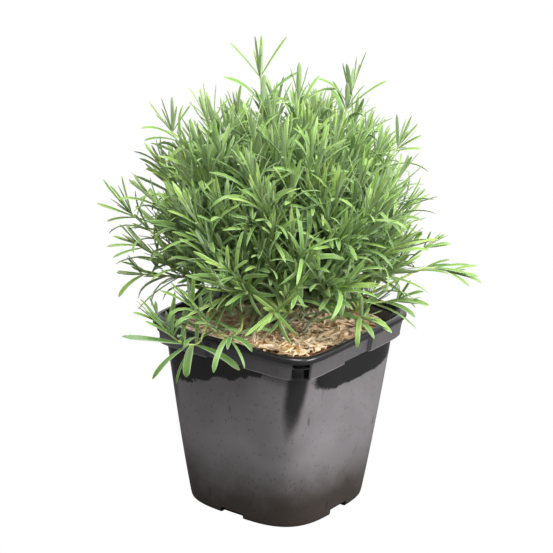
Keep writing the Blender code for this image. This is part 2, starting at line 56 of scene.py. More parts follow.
# Pot, from its box and from the mould's own sizes
RIM_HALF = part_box("pot")[1][0]
POT_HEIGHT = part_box("pot")[1][2]
BASE_HALF = 68.75 * MM
WAIST_HALF = 80.8 * MM
WALL = 1.6 * MM
LIP_HEIGHT = 6 * MM
COLLAR_BOTTOM = 152.4 * MM
COLLAR_HALVES = (84.25 * MM, 86.8 * MM)       # at the collar's lower and upper edge
COLLAR_BREAK_HALF = 20 * MM
CORNER_REACH = 110.5 * MM                     # from the axis to the collar's corner
SLOT_HALF = 7.5 * MM
SLOT_DEPTH = 6 * MM
NOTCH = (25 * MM, 5.5 * MM)                   # width and height of the drain notch
FOOT_SQUARENESS = 3.33
FOOT_PROFILE = np.array([(0, -1.9), (0.3, -0.9), (0.9, -0.25), (1.9, 0)]) * MM      # height, inset
LIP_PROFILE = np.array([(0, -2.6), (0.15, -1.3), (0.7, -0.5), (1.7, -0.05), (3, 0), (4.4, -0.1), (5.2, -0.45),
                        (5.75, -1.1), (6, -2), (6, -4.2), (5.7, -4.9), (5, -5.3), (3.6, -5.9)]) * MM
# Rings of the collar, above its lower edge
COLLAR_LEVELS = np.array([0, 0.25, 0.7, 1.3, 1.45, 1.9, 2.2, 3, 5, 8, 10.8, 11.4, 11.6, 12.5, 12.8, 13.1,
                          15.1, 15.6, 16]) * MM

# What fills it
MULCH_LOW = 160 * MM
MULCH_FRONT_RISE = 10.5 * MM
ROOT_BALL_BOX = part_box("root_ball")
CROWN_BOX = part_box("woody_crown")
CHIP_COUNT = 2600
TRUNK_HOLE = 12 * MM      # radius of the bed's hole round the trunk

# The crown and the dome of foliage, as in the frame
LIMB_COUNT = 10
LIMB_START = np.array([0.0, 0.0, 0.177])
LIMB_LOWEST = 0.06        # cosine of the angle between the lowest limb and upright
LIMB_REACH = (0.038, 0.016)     # length of an upright limb, and what a level one adds to it
KNUCKLE_LOWEST = 0.193
KNUCKLE_RADIUS = 5.6 * MM
KNUCKLE_SHOOTS = 6
KNUCKLE_SPREAD = math.radians(62)
DOME_CENTRE = 0.238
DOME_REACH = 0.117
DOME_RISE = 0.121
DOME_POWER = 2.7
DOME_SHOOTS = 35
DOME_LOWEST = -0.30
PLACED_SPACING = 0.034
PLACED_SHOOTS = {
    "tall_shoot_1": ((-0.012, -0.010, 0.310), (-0.018, -0.013, 0.392)),
    "tall_shoot_2": ((0.034, 0.022, 0.305), (0.047, 0.033, 0.384)),
    "tall_shoot_3": ((0.006, 0.006, 0.310), (0.008, 0.008, 0.374)),
    "right_trailing_shoot": ((0.086, 0.060, 0.210), (0.104, 0.075, 0.221), (0.121, 0.087, 0.219)),
    "right_shoot": ((0.080, 0.048, 0.215), (0.103, 0.073, 0.240)),
    "left_shoot": ((-0.072, -0.050, 0.226), (-0.109, -0.079, 0.266)),
    "left_low_shoot": ((-0.070, -0.054, 0.212), (-0.104, -0.074, 0.236)),
    "left_rear_shoot": ((-0.084, -0.046, 0.204), (-0.108, -0.066, 0.206)),
    "rim_shoot_1": ((0.010, -0.072, 0.193), (0.019, -0.087, 0.187), (0.018, -0.098, 0.184),
                    (0.004, -0.104, 0.190), (-0.022, -0.104, 0.208)),
    "rim_shoot_2": ((-0.022, -0.077, 0.193), (-0.013, -0.094, 0.184), (-0.014, -0.104, 0.172),
                    (-0.027, -0.109, 0.172), (-0.054, -0.110, 0.186)),
    "front_low_shoot": ((0.074, -0.010, 0.193), (0.096, -0.014, 0.197)),
    "right_low_shoot": ((0.076, 0.026, 0.194), (0.099, 0.040, 0.198)),
    "left_shoulder_shoot": ((-0.058, -0.042, 0.290), (-0.080, -0.058, 0.342)),
    "upper_left_shoot": ((-0.038, -0.040, 0.312), (-0.049, -0.048, 0.358)),
    "right_shoulder_shoot": ((0.060, 0.043, 0.292), (0.080, 0.058, 0.332)),
    "right_flank_shoot": ((0.074, 0.036, 0.258), (0.097, 0.050, 0.284)),
    "left_flank_shoot": ((-0.062, -0.066, 0.256), (-0.084, -0.084, 0.288)),
}

# Leaf pairs of one shoot, from its tip down: distance from the tip, length, width (mm),
# angle to the stem and bend from base to tip (degrees)
LEAF_PAIRS = np.array([
    (0.5, 17, 1.4, 3, 2), (2, 25, 1.9, 6, 5), (4.5, 31, 2.4, 10, 10), (8.5, 35, 2.7, 14, 20),
    (14, 39, 3.1, 20, 36), (23, 43, 3.4, 26, 58), (35, 44, 3.6, 32, 78), (49, 43, 3.8, 38, 90),
    (65, 38, 3.8, 44, 90), (83, 32, 3.5, 50, 84)])
AXIL_FROM_PAIR = 5        # from this pair down, small leaves stand in the leaf axils
# Side shoots, layer by layer inwards: how many, the cosine they stay above, the least and greatest share
# of the dome that they reach to, and how light their leaves are; the darker leaves of the inner layers
# are painted shade inside the foliage
SHOOT_LAYERS = ((205, -0.16, 0.78, 1.01, 0.50), (135, -0.36, 0.52, 0.76, 0.34),
                (110, -0.75, 0.28, 0.58, 0.17))
STEM_RINGS = 22

# Leaves of the shoots that stand apart, a row each: distance from the shoot's tip, length and width (mm),
# bearing from +X, rise above level, droop from base to tip and twist (degrees)
SET_LEAVES = {
    "tall_shoot_1": [
        (0, 38, 3, 260, 76, -5, 0), (0, 36, 3, 130, 85, 4, 0), (0, 42, 2.8, 60, 58, 8, 25),
        (1, 41, 2.6, 200, 48, 6, -25), (1, 30, 3.4, 300, 84, 3, 0), (26, 44, 4, 216, 58, 52, -50),
        (26, 45, 3.6, 40, 60, 38, 45), (27, 31, 4.6, 320, 82, 5, 0), (27, 30, 3.2, 20, 48, 88, 30),
        (28, 28, 3.4, 110, 78, 6, 0)],
    "tall_shoot_2": [
        (6, 30, 4.4, 270, 76, 4, 0), (6, 31, 3.8, 250, 70, -4, -15), (6, 25, 3.2, 330, 84, 3, 0),
        (5, 39, 2.4, 45, 73, 3, 20), (16, 39, 3, 212, 64, 60, -45), (20, 44, 3, 38, 47, 22, 35),
        (19, 26, 4, 300, 78, 8, 0), (21, 30, 3.4, 10, 66, 20, 20), (22, 30, 3.4, 190, 68, 15, -20)],
    "tall_shoot_3": [
        (1, 33, 4.4, 300, 86, 3, 0), (1, 29, 2.4, 225, 76, 6, -20), (1, 30, 2.4, 30, 74, -4, 20),
        (4, 24, 2.8, 126, 80, 5, 0), (9, 40, 3.6, 40, 52, 62, 40), (10, 34, 3.4, 215, 45, 85, -40)],
    "left_shoulder_shoot": [
        (0, 33, 3, 225, 50, -6, -30), (0, 33, 2.8, 250, 72, 4, -10), (1, 33, 2.8, 300, 84, 3, 0),
        (1, 26, 2.8, 340, 76, 4, 10), (1, 29, 3.2, 40, 60, 6, 30), (8, 34, 3.2, 216, 40, 58, -45),
        (10, 30, 3, 212, 15, 40, -40)],
    "right_shoulder_shoot": [
        (0, 31, 3, 280, 82, 3, 0), (0, 28, 3, 350, 74, 3, 10), (1, 31, 2.8, 50, 68, 3, 25),
        (1, 28, 3, 38, 53, 4, 35), (4, 27, 3.2, 38, 38, 15, 40), (5, 24, 3.2, 40, 15, 22, 45),
        (6, 28, 3, 210, 65, 25, -25)],
    "left_shoot": [
        (0, 40, 3.4, 222, 48, -10, -35), (0, 31, 3, 205, 55, 8, -30), (1, 32, 2.8, 250, 66, 5, -20),
        (1, 35, 2.4, 190, 70, -6, -15), (5, 36, 3.4, 218, 22, 5, -50), (6, 27, 3, 212, 2, 28, -50),
        (6, 30, 3, 60, 70, 20, 20)],
    "left_low_shoot": [
        (0, 25, 3, 222, 50, 0, -30), (0, 25, 3, 210, 20, 6, -45), (1, 30, 3.2, 225, 10, 22, -50),
        (3, 26, 2.8, 250, 65, 15, -15), (4, 28, 3.2, 230, -5, 25, -40)],
    "right_trailing_shoot": [
        (0, 26, 3, 38, 16, 10, 50), (0, 27, 3, 30, -4, 12, 55), (1, 34, 3.4, 40, -10, 25, 55),
        (4, 27, 3.2, 25, -20, 25, 50), (14, 34, 3.2, 42, 14, 24, 45), (15, 32, 3, 30, 2, 20, 50),
        (28, 34, 3.4, 45, 18, 30, 40), (30, 30, 3, 20, 12, 25, 40), (22, 26, 3, 60, 20, 20, 30)],
    "left_rear_shoot": [
        (0, 22, 3, 225, 12, 20, -40), (0, 20, 2.8, 200, 50, 8, -25), (1, 26, 3.2, 250, 60, 15, -15),
        (3, 32, 4.6, 240, -18, 45, -40), (8, 30, 3.2, 230, 40, 30, -30), (9, 28, 3.2, 80, 55, 30, 15)],
    "right_shoot": [
        (0, 24, 3, 38, 12, 4, 45), (0, 22, 3, 45, 36, 4, 35), (1, 17, 2.6, 60, 68, 4, 15),
        (4, 26, 3.2, 32, 30, 25, 40), (20, 30, 3.6, 30, 50, 30, 30), (34, 39, 5, 330, 84, 4, 0),
        (35, 37, 4.6, 20, 70, 5, 25), (36, 46, 5.6, 42, 60, 8, 35)],
    "front_low_shoot": [
        (0, 21, 3.4, 290, 78, 4, 0), (0, 24, 3.8, 40, 62, 6, 25), (2, 26, 5.6, 20, 5, 45, 35),
        (2, 38, 4.4, 300, 10, 110, 0), (14, 42, 5.2, 15, 10, 55, 40), (15, 34, 4.6, 355, 5, 70, 30)],
    "right_low_shoot": [
        (1, 22, 3.4, 60, 60, 10, 15), (2, 26, 4.4, 35, 35, 30, 30), (12, 40, 5.4, 30, 15, 40, 40),
        (14, 34, 4.6, 10, 5, 50, 40)],
    "rim_shoot_1": [
        (0, 26, 3.2, 225, 52, 6, -30), (0, 24, 3.2, 280, 80, 3, 0), (1, 23, 3.4, 30, 54, 10, 30),
        (3, 30, 3.4, 120, 74, 6, 0), (12, 36, 3.6, 222, 35, 130, -50), (13, 30, 3.4, 40, 66, 25, 30),
        (22, 32, 4, 230, 40, 110, -45), (24, 30, 3.6, 60, 60, 40, 25), (30, 34, 3.6, 236, 62, 20, -25),
        (32, 32, 3.6, 80, 64, 30, 15), (6, 34, 3.4, 215, 38, 25, -35), (44, 28, 6, 25, 5, 75, 30),
        (45, 36, 4.8, 280, -20, 60, -20), (46, 32, 2.6, 350, -25, 50, 10),
        (17, 30, 3.4, 300, 70, 20, 0), (18, 32, 3.2, 190, 60, 30, -20), (38, 34, 4.2, 260, 50, 50, -20),
        (39, 32, 4, 340, 45, 60, 10), (50, 34, 4, 300, 30, 70, 0), (52, 36, 4, 20, 40, 60, 30),
        (54, 34, 3.6, 200, 45, 60, -30)],
    "rim_shoot_2": [
        (0, 17, 3, 225, 60, 6, -25), (0, 20, 3, 290, 82, 3, 0), (2, 24, 3.4, 210, 30, 25, -40),
        (10, 30, 3.4, 240, 60, 15, -20), (20, 40, 3.2, 110, 82, 6, 0), (20, 34, 3.4, 222, 50, 8, -35),
        (21, 30, 3.4, 60, 65, 15, 25), (36, 57, 5.2, 214, 8, 6, -55), (37, 44, 5, 232, -28, 35, -50),
        (40, 30, 7, 290, -35, 60, -10), (42, 38, 3, 250, -45, 40, -20), (44, 45, 6.2, 15, -8, 35, 45),
        (44, 34, 3.6, 120, 70, 15, 0), (12, 36, 3.2, 215, 56, 10, -30), (13, 32, 3.2, 80, 76, 8, 10),
        (28, 36, 3.6, 228, 42, 18, -40), (29, 34, 3.6, 90, 68, 20, 10), (5, 28, 3, 200, 70, 8, -15),
        (16, 32, 3.2, 300, 66, 20, 0), (24, 34, 3.4, 250, 60, 25, -20), (32, 34, 3.8, 300, 50, 50, 0),
        (33, 32, 3.6, 130, 60, 30, 0), (50, 34, 4, 280, 35, 70, 0), (52, 34, 4, 40, 40, 60, 30),
        (56, 34, 3.8, 200, 40, 60, -20)],
}


# ---------------------------------------------------------------- arrays and meshes

def unit(vectors):
    """Each vector divided by its length."""
    return vectors / np.linalg.norm(vectors, axis=-1, keepdims=True)


def new_mesh(name, points, *face_sets):
    """Mesh from a (n, 3) array of points and arrays of faces, each array with one count of corners a face."""
    corners = np.concatenate([faces.ravel() for faces in face_sets])
    sizes = np.concatenate([np.full(len(faces), faces.shape[1]) for faces in face_sets])
    mesh = bpy.data.meshes.new(name)
    mesh.vertices.add(len(points))
    mesh.vertices.foreach_set("co", np.ascontiguousarray(points, dtype=np.float32).ravel())
    mesh.loops.add(len(corners))
    mesh.loops.foreach_set("vertex_index", corners.astype(np.int32))
    mesh.polygons.add(len(sizes))
    mesh.polygons.foreach_set("loop_start", (np.cumsum(sizes) - sizes).astype(np.int32))
    mesh.update(calc_edges=True)
    mesh.shade_smooth()
    return mesh


def set_values(mesh, **values):
    """Store one number a point under each name, for the materials to read."""
    for name, numbers in values.items():
        mesh.attributes.new(name, "FLOAT", "POINT").data.foreach_set(
            "value", np.ascontiguousarray(numbers, dtype=np.float32).ravel())


def repeated(quads, count, points):
    """The same quads for each of count parts that have so many points apiece."""
    return (np.arange(count)[:, None, None] * points + np.array(quads)).reshape(-1, 4)


def tube_faces(count, rings, sides):
    """Quads of count tubes, each of so many rings of so many sides, walls facing outwards if rings turn
    anticlockwise round the way they follow one another."""
    k = np.arange(sides)
    ring = np.arange(rings - 1)[:, None] * sides
    after = (k + 1) % sides
    quads = np.stack([ring + k, ring + after, ring + sides + after, ring + sides + k], axis=-1)
    return repeated(quads.reshape(-1, 4), count, rings * sides)


def closed_tubes(count, rings, sides):
    """Quads of count tubes of four or six sides, with both ends of each."""
    last = (rings - 1) * sides
    ends = [quad for k in range(0, sides - 2, 2)
            for quad in ((k + 3, k + 2, k + 1, 0), (last, last + k + 1, last + k + 2, last + k + 3))]
    return np.vstack([tube_faces(count, rings, sides), repeated(ends, count, rings * sides)])


def fan(ring, middle, outward=True):
    """Triangles from a ring of point numbers to one middle point."""
    triangles = np.stack([ring, np.roll(ring, -1), np.full(len(ring), middle)], axis=-1)
    return triangles if outward else triangles[:, ::-1]


def ring_points(radius, bearing, height):
    """Points of rings round the axis: (r cos b, r sin b, height) at radius r and bearing b."""
    return np.stack([radius * np.cos(bearing), radius * np.sin(bearing),
                     np.broadcast_to(height, radius.shape)], axis=-1)


def ring_skin(name, points):
    """Closed mesh through a stack of rings, with a fan of triangles to the axis at either end."""
    rings, around = points.shape[:2]
    total = rings * around
    first = np.arange(around)
    return new_mesh(name, np.vstack([points.reshape(-1, 3), points[[0, -1], 0] * UP]),
                    tube_faces(1, rings, around), fan(first, total, outward=False),
                    fan(first + total - around, total + 1))


def new_piece(mesh, node, slot, *finishes):
    """Piece made of the mesh, which rides on the body, stands for the node and takes the finishes; the slot
    is not used.
    """
    piece = bpy.data.objects.new(mesh.name, mesh)
    bpy.context.scene.collection.objects.link(piece)
    for finish in finishes:
        mesh.materials.append(finish)
    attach(piece, "root")
    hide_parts(node)


# ---------------------------------------------------------------- finishes

SMOOTH = {"interpolation_type": "SMOOTHSTEP"}     # makes a map range S-shaped


def linear(hex_colour):
    """Linear RGBA of an sRGB hex colour."""
    channels = [int(hex_colour[i:i + 2], 16) / 255 for i in (0, 2, 4)]
    return (*[c / 12.92 if c <= 0.04045 else ((c + 0.055) / 1.055) ** 2.4 for c in channels], 1.0)


def add(tree, kind, inputs=(), stops=(), **settings):
    """Add one shader node. Inputs, by place or by name, are values, or nodes or sockets to link. A map range
    takes a value, the two ends it is read from and the two it is mapped to. Stops are the places and colours
    of a colour ramp, from low to high."""
    made = tree.nodes.new("ShaderNode" + kind)
    for name, value in settings.items():
        setattr(made, name, value)
    for key, value in (inputs.items() if isinstance(inputs, dict) else enumerate(inputs)):
        if isinstance(value, bpy.types.Node):
            value = value.outputs[0]
        if isinstance(value, bpy.types.NodeSocket):
            tree.links.new(value, made.inputs[key])
        else:
            made.inputs[key].default_value = value
    if stops:
        ramp = made.color_ramp.elements
        ramp[0].position, ramp[1].position = stops[0][0], stops[-1][0]
        for place, _ in stops[1:-1]:
            ramp.new(place)
        for stop, (_, colour) in zip(ramp, stops):
            stop.color = linear(colour)
    return made


def new_finish(name):
    """Empty material; gives it, its node tree and the place on the object that its patterns read."""
    made = bpy.data.materials.new(name)
    made.use_nodes = True
    made.node_tree.nodes.clear()
    return made, made.node_tree, add(made.node_tree, "TexCoord").outputs["Object"]


def surface(tree, colour, roughness, height, strength, depth, more={}, through=None):
    """Surface whose relief, so many millimetres deep, follows a height pattern. Through, for a thing that
    light shines through, is the share that does and its colour."""
    bump = add(tree, "Bump", {"Strength": strength, "Distance": depth * MM, "Height": height})
    shader = add(tree, "BsdfPrincipled",
                 {"Base Color": colour, "Roughness": roughness, "Normal": bump, **more})
    if through:
        passing = add(tree, "BsdfTranslucent", {"Color": through[1], "Normal": bump})
        shader = add(tree, "MixShader", [through[0], shader, passing])
    add(tree, "OutputMaterial", [shader])


def black_polypropylene():
    """Black polypropylene, injection moulded, half gloss. Handling and compost have left a grey film with
    dark specks;
    the plastic shows black and glossier instead in a field under the collar on each side and in a tongue
    under each corner slot; the foot is brown with dried soil. A pale line along the collar's lower edge is a
    painted highlight."""
    finish, tree, place = new_finish("black_polypropylene_moulded")
    parts = add(tree, "SeparateXYZ", [place]).outputs
    x, y = (add(tree, "Math", [parts[axis]], operation="ABSOLUTE") for axis in "XY")
    x_sign, y_sign = (add(tree, "Math", [parts[axis]], operation="SIGN") for axis in "XY")
    height = parts["Z"]
    on_x_side = add(tree, "Math", [x, y], operation="GREATER_THAN")
    along_x_side = add(tree, "Math", [parts["Y"], x_sign], operation="MULTIPLY")
    along_y_side = add(tree, "Math", [parts["X"], y_sign], operation="MULTIPLY")
    along_y_side = add(tree, "Math", [along_y_side, -1.0], operation="MULTIPLY")
    along = add(tree, "Mix", {0: on_x_side, 2: along_y_side, 3: along_x_side}, data_type="FLOAT")
    from_corner = add(tree, "Math", [x, y], operation="SUBTRACT")
    below = add(tree, "Math", [COLLAR_BOTTOM + 0.5 * MM, height], operation="SUBTRACT")
    ragged = add(tree, "TexNoise", {"Vector": place, "Scale": 1 / (14 * MM), "Detail": 5, "Roughness": 0.65})
    ragged = add(tree, "Math", [ragged, 0.5], operation="SUBTRACT")

    def field(across, shift, half_width, depth, roundness, fray, low, high):
        """1 inside |(across + shift) / width|^k + (below / depth)^k < 1, k being the roundness, with a frayed
        edge; sizes in mm."""
        across = add(tree, "Math", [across, shift * MM], operation="ADD")
        across = add(tree, "Math", [across], operation="ABSOLUTE")
        deep = add(tree, "Math", [below, 0.0], operation="MAXIMUM")
        total = [add(tree, "Math", [value, size * MM], operation="DIVIDE")
                 for value, size in ((across, half_width), (deep, depth))]
        total = [add(tree, "Math", [share, roundness], operation="POWER") for share in total]
        total = add(tree, "Math", total, operation="ADD")
        total = add(tree, "Math", [ragged, fray, total], operation="MULTIPLY_ADD")
        return add(tree, "MapRange", [total, low, high, 1.0, 0.0], **SMOOTH)

    # A darker, glossier field under the collar on each side and a tongue under each corner slot, where the
    # film gives way to black plastic.
    wedge = field(along, 76, 120, 36, 1.25, 0.7, 0.94, 1.04)
    panel = field(along, -6, 66, 23, 3.0, 0.8, 0.80, 1.10)
    dark_field = add(tree, "Mix", {0: on_x_side, 2: wedge, 3: panel}, data_type="FLOAT")
    on_wall = add(tree, "MapRange", [below, 0.0, 0.5 * MM], **SMOOTH)
    dark_field = add(tree, "Math", [dark_field, on_wall], operation="MULTIPLY")
    trailing = add(tree, "Math", [below, 0.16, from_corner], operation="MULTIPLY_ADD")
    tongue = field(trailing, 0, 14, 58, 2.0, 0.4, 0.35, 1.45)
    tongue = add(tree, "Math", [tongue, 0.92], operation="MULTIPLY")
    collar = add(tree, "MapRange", [below, 0.3 * MM, -0.3 * MM, 0.0, 0.42], **SMOOTH)
    above_lip = add(tree, "Math", [height, POT_HEIGHT - LIP_HEIGHT], operation="SUBTRACT")
    lip = add(tree, "MapRange", [above_lip, -0.6 * MM, 0.4 * MM, 0.0, 0.92], **SMOOTH)
    bare = dark_field
    for share in (tongue, collar, lip):
        bare = add(tree, "Math", [bare, share], operation="MAXIMUM")
    specks = ((0.2, 0.2, 0.0), 0.55, 3.6, 0.12, 0.22, 0.45)
    scuffs = ((0.35, 0.25, 0.0), 0.22, 13, 0.06, 0.12, 0.55)
    for tilt, stretch, spacing, inner, outer, strength in (specks, scuffs):
        tilted = add(tree, "Mapping", {"Vector": place, "Rotation": tilt, "Scale": (1.0, 1.0, stretch)})
        marks = add(tree, "TexVoronoi", {"Vector": tilted, "Scale": 1 / (spacing * MM), "Randomness": 1.0})
        marks = add(tree, "MapRange", [marks, inner, outer, strength, 0.0])
        bare = add(tree, "Math", [bare, marks], operation="MAXIMUM")
    cloud = add(tree, "TexNoise", {"Vector": place, "Scale": 1 / (45 * MM), "Detail": 6.0, "Roughness": 0.6})
    patches = add(tree, "MapRange", [cloud, 0.35, 0.65])
    film = add(tree, "MixRGB", [patches, linear("676466"), linear("736F71")])
    soil = add(tree, "Math", [cloud, -70 * MM, height], operation="MULTIPLY_ADD")
    soil = add(tree, "MapRange", [soil, -26 * MM, 40 * MM, 1.0, 0.0], **SMOOTH)
    film = add(tree, "MixRGB", [soil, film, linear("2E2722")])
    colour = add(tree, "MixRGB", [bare, film, linear("0C0C0D")])
    # Painted highlight: a pale grey line along the collar's lower edge.
    reach = add(tree, "Math", [x, y], operation="MAXIMUM")
    painted_highlight_line = [add(tree, "MapRange", [reach, 82.2 * MM, 83.0 * MM, 0.0, 0.75], **SMOOTH),
            add(tree, "MapRange", [below, -1.1 * MM, -0.2 * MM], **SMOOTH)]
    painted_highlight_line = add(tree, "Math", painted_highlight_line, operation="MULTIPLY")
    colour = add(tree, "MixRGB", [painted_highlight_line, colour, linear("8F8C90")])
    gloss = add(tree, "MapRange", [bare, 0.0, 1.0, 0.42, 0.17])
    grain = add(tree, "TexNoise", {"Vector": place, "Scale": 1 / (1.2 * MM), "Detail": 3.0})
    surface(tree, colour, gloss, grain, 0.10, 0.05, {"IOR": 1.49})
    return finish


def spruce_slivers():
    """Shredded softwood, weathered a little: pale cream and tan slivers, a few brown, fibres along them."""
    finish, tree, place = new_finish("spruce_slivers_shredded")
    tone, across, reach = (add(tree, "Attribute", attribute_name=name).outputs["Fac"]
                           for name in ("tone", "edge", "reach"))
    lengthwise = add(tree, "CombineXYZ", [across, reach, tone])
    lengthwise = add(tree, "Mapping", {"Vector": lengthwise, "Scale": (9.0, 1.5, 90.0)})
    fibre = add(tree, "TexNoise", {"Vector": lengthwise, "Scale": 1.0, "Detail": 4.0, "Roughness": 0.7})
    blotch = add(tree, "TexNoise", {"Vector": place, "Scale": 1 / (9 * MM), "Detail": 4.0})
    shade = add(tree, "Math", [fibre, 0.45, tone], operation="MULTIPLY_ADD")
    shade = add(tree, "Math", [blotch, 0.35, shade], operation="MULTIPLY_ADD")
    shade = add(tree, "Math", [shade, 0.40], operation="SUBTRACT")
    ramp = add(tree, "ValToRGB", [shade], stops=((0.0, "6E4624"), (0.18, "AE7E4C"), (0.42, "D2B488"),
                                                 (0.68, "DAC3A0"), (1.0, "E2D2B8")))
    surface(tree, ramp, 0.78, fibre, 0.5, 0.15, {"Specular IOR Level": 0.3})
    return finish


def crumbs_and_gap_shade():
    """Dust, crumbs and small slivers between the chips: tan broken with dark brown, the dark brown partly
    painted shade in the gaps between the chips.
    """
    finish, tree, place = new_finish("wood_crumbs_with_painted_gap_shade")
    crumbs = add(tree, "TexVoronoi", {"Vector": place, "Scale": 1 / (2.4 * MM)})
    # The dark brown is partly painted shade down between the chips.
    colour = add(tree, "MixRGB", [crumbs.outputs["Color"], linear("4A2E17"), linear("9A6C40")])
    surface(tree, colour, 0.9, crumbs, 0.8, 0.8)
    return finish


def lavender_bark():
    """Young lavender bark, grown: grey brown, splitting lengthwise into pale flakes."""
    finish, tree, place = new_finish("lavender_bark")
    stretched = add(tree, "Mapping", {"Vector": place, "Scale": (1.0, 1.0, 0.3)})
    flakes = add(tree, "TexNoise",
                 {"Vector": stretched, "Scale": 1 / (1.6 * MM), "Detail": 5, "Roughness": 0.7})
    colour = add(tree, "ValToRGB", [flakes], stops=((0.32, "3E3025"), (0.5, "6D5845"), (0.68, "9A846A")))
    surface(tree, colour, 0.88, flakes, 0.8, 0.4)
    return finish


def rooted_compost():
    """Peat compost held by roots: dark crumbs crossed by pale threads, which show at the drain notches."""
    finish, tree, place = new_finish("rooted_compost")
    crumbs = add(tree, "TexNoise", {"Vector": place, "Scale": 1 / (3 * MM), "Detail": 6.0, "Roughness": 0.7})
    soil = add(tree, "MixRGB", [crumbs, linear("2A1D13"), linear("7A5C40")])
    threads = add(tree, "TexVoronoi", {"Vector": place, "Scale": 1 / (8 * MM)}, feature="DISTANCE_TO_EDGE")
    threads = add(tree, "MapRange", [threads, 0.05, 0.12, 0.85, 0.0])
    colour = add(tree, "MixRGB", [threads, soil, linear("C9B08C")])
    surface(tree, colour, 0.95, crumbs, 0.9, 1.2)
    return finish


def lavender_leaf():
    """Lavender leaf, grown: green under a fine grey felt that is densest along the rolled margins and the
    underside, with a channel down the middle. Young leaves are yellower, old ones greyer. Thin enough
    that some light comes through."""
    finish, tree, place = new_finish("lavender_leaf_felted")
    tone, edge, reach = (add(tree, "Attribute", attribute_name=name).outputs["Fac"]
                         for name in ("tone", "edge", "reach"))
    mottle = add(tree, "TexNoise", {"Vector": place, "Scale": 1 / (5 * MM), "Detail": 4.0, "Roughness": 0.6})
    shade = add(tree, "Math", [mottle, 0.30, tone], operation="MULTIPLY_ADD")
    shade = add(tree, "Math", [shade, 0.15], operation="SUBTRACT")
    colour = add(tree, "ValToRGB", [shade], stops=((0.0, "567A34"), (0.35, "759D49"), (0.65, "8AAE4C"),
                                                   (1.0, "9DB852")))
    felt = add(tree, "MapRange", [edge, 0.62, 1.0, 0.0, 0.55], **SMOOTH)
    channel = add(tree, "MapRange", [edge, 0.05, 0.30, 0.40, 0.0], **SMOOTH)
    foot = add(tree, "MapRange", [reach, 0.0, 0.16, 0.45, 0.0])
    for share, tint in ((felt, "BED0AC"), (channel, "5F8038"), (foot, "B4C877")):
        colour = add(tree, "MixRGB", [share, colour, linear(tint)])
    passing = add(tree, "MixRGB", [0.45, colour, linear("8FB034")])
    hairs = add(tree, "TexNoise", {"Vector": place, "Scale": 1 / (0.5 * MM), "Detail": 2.0})
    sheen = {"Specular IOR Level": 0.50, "Sheen Weight": 0.22, "Sheen Roughness": 0.50,
             "Sheen Tint": linear("F0F5E8")}
    surface(tree, colour, 0.42, hairs, 0.25, 0.08, sheen, through=(0.24, passing))
    return finish


def lavender_stem():
    """Lavender stem, grown: woody and brown at the foot, then grey green, then yellow green to the tip."""
    finish, tree, place = new_finish("lavender_stem")
    reach = add(tree, "Attribute", attribute_name="reach").outputs["Fac"]
    mottle = add(tree, "TexNoise", {"Vector": place, "Scale": 1 / (2 * MM), "Detail": 4.0})
    shade = add(tree, "Math", [mottle, 0.16, reach], operation="MULTIPLY_ADD")
    ramp = add(tree, "ValToRGB", [shade], stops=((0.10, "6B543C"), (0.30, "7C7A4C"), (0.46, "A3B35E"),
                                                 (0.70, "BCCD72"), (1.0, "A9C466")))
    surface(tree, ramp, 0.6, mottle, 0.3, 0.15)
    return finish


# ---------------------------------------------------------------- pot

def superellipse(bearing, half, squareness):
    """Distance from the axis to |x|^k + |y|^k = half^k at a bearing."""
    sides = np.abs(np.cos(bearing)) ** squareness + np.abs(np.sin(bearing)) ** squareness
    return half * sides ** (-1 / squareness)


def wall_half(height):
    """Half width of the wall's outside, straight from the foot to the collar and on up."""
    return BASE_HALF + (WAIST_HALF - BASE_HALF) * height / COLLAR_BOTTOM


def wall_radius(bearing, height, inset=0.0):
    """Distance from the axis to the wall's outside less an inset; the wall is nearly round-cornered at the
    foot and square under the rim."""
    return superellipse(bearing, wall_half(height) - inset, FOOT_SQUARENESS + 3.5 * height / POT_HEIGHT)


def pot_bearings():
    """Bearings round the pot, close together at the steps of the collar and round the corners."""
    step = COLLAR_BREAK_HALF / COLLAR_HALVES[0]
    slot = math.pi / 4 - SLOT_HALF / CORNER_REACH
    broken = np.arctan(np.concatenate([np.linspace(0, step - 0.004, 7), np.linspace(step, step + 0.012, 4),
                                       np.linspace(step + 0.03, 0.60, 9)]))
    bend = np.concatenate([np.linspace(broken[-1] + 0.015, slot - 0.009, 14),
                           np.linspace(slot - 0.004, slot + 0.004, 4),
                           np.linspace(slot + 0.009, math.pi / 4, 6)])
    eighth = np.concatenate([broken, bend])
    quarter = np.concatenate([eighth, (math.pi / 2 - eighth[::-1])[1:-1]])
    return np.concatenate([quarter + turn * math.pi / 2 for turn in range(4)])


def collar_share(bearing, height):
    """How far a point stands out from the wall to the collar, 0 in the breaks, and how far it is back in a
    corner slot, both as shares."""
    x, y = np.abs(np.cos(bearing)), np.abs(np.sin(bearing))
    along = COLLAR_HALVES[0] * np.minimum(x, y) / np.maximum(x, y)
    block = np.clip((along - COLLAR_BREAK_HALF) / (0.5 * MM), 0, 1)
    rounded = np.clip((height - COLLAR_BOTTOM) / (2.5 * MM), 0, 1)
    lifted = np.clip((along - COLLAR_BREAK_HALF) / (2.5 * MM), 0, 1)
    block = np.where((rounded ** 2 + lifted ** 2 < 0.35) & (block < 1), block * 0.3, block)
    from_corner = CORNER_REACH * np.abs(np.arctan2(y, x) - math.pi / 4)
    inside = np.clip((SLOT_HALF - from_corner) / (0.5 * MM), 0, 1)
    up = height - COLLAR_BOTTOM
    open_below = np.clip((up - 1.4 * MM) / (0.5 * MM), 0, 1) * np.clip((11.4 * MM - up) / (0.5 * MM), 0, 1)
    open_above = np.clip((up - 12.6 * MM) / (0.4 * MM), 0, 1) * np.clip((15.6 * MM - up) / (0.4 * MM), 0, 1)
    slot = inside * np.maximum(open_below, open_above)
    return block, slot


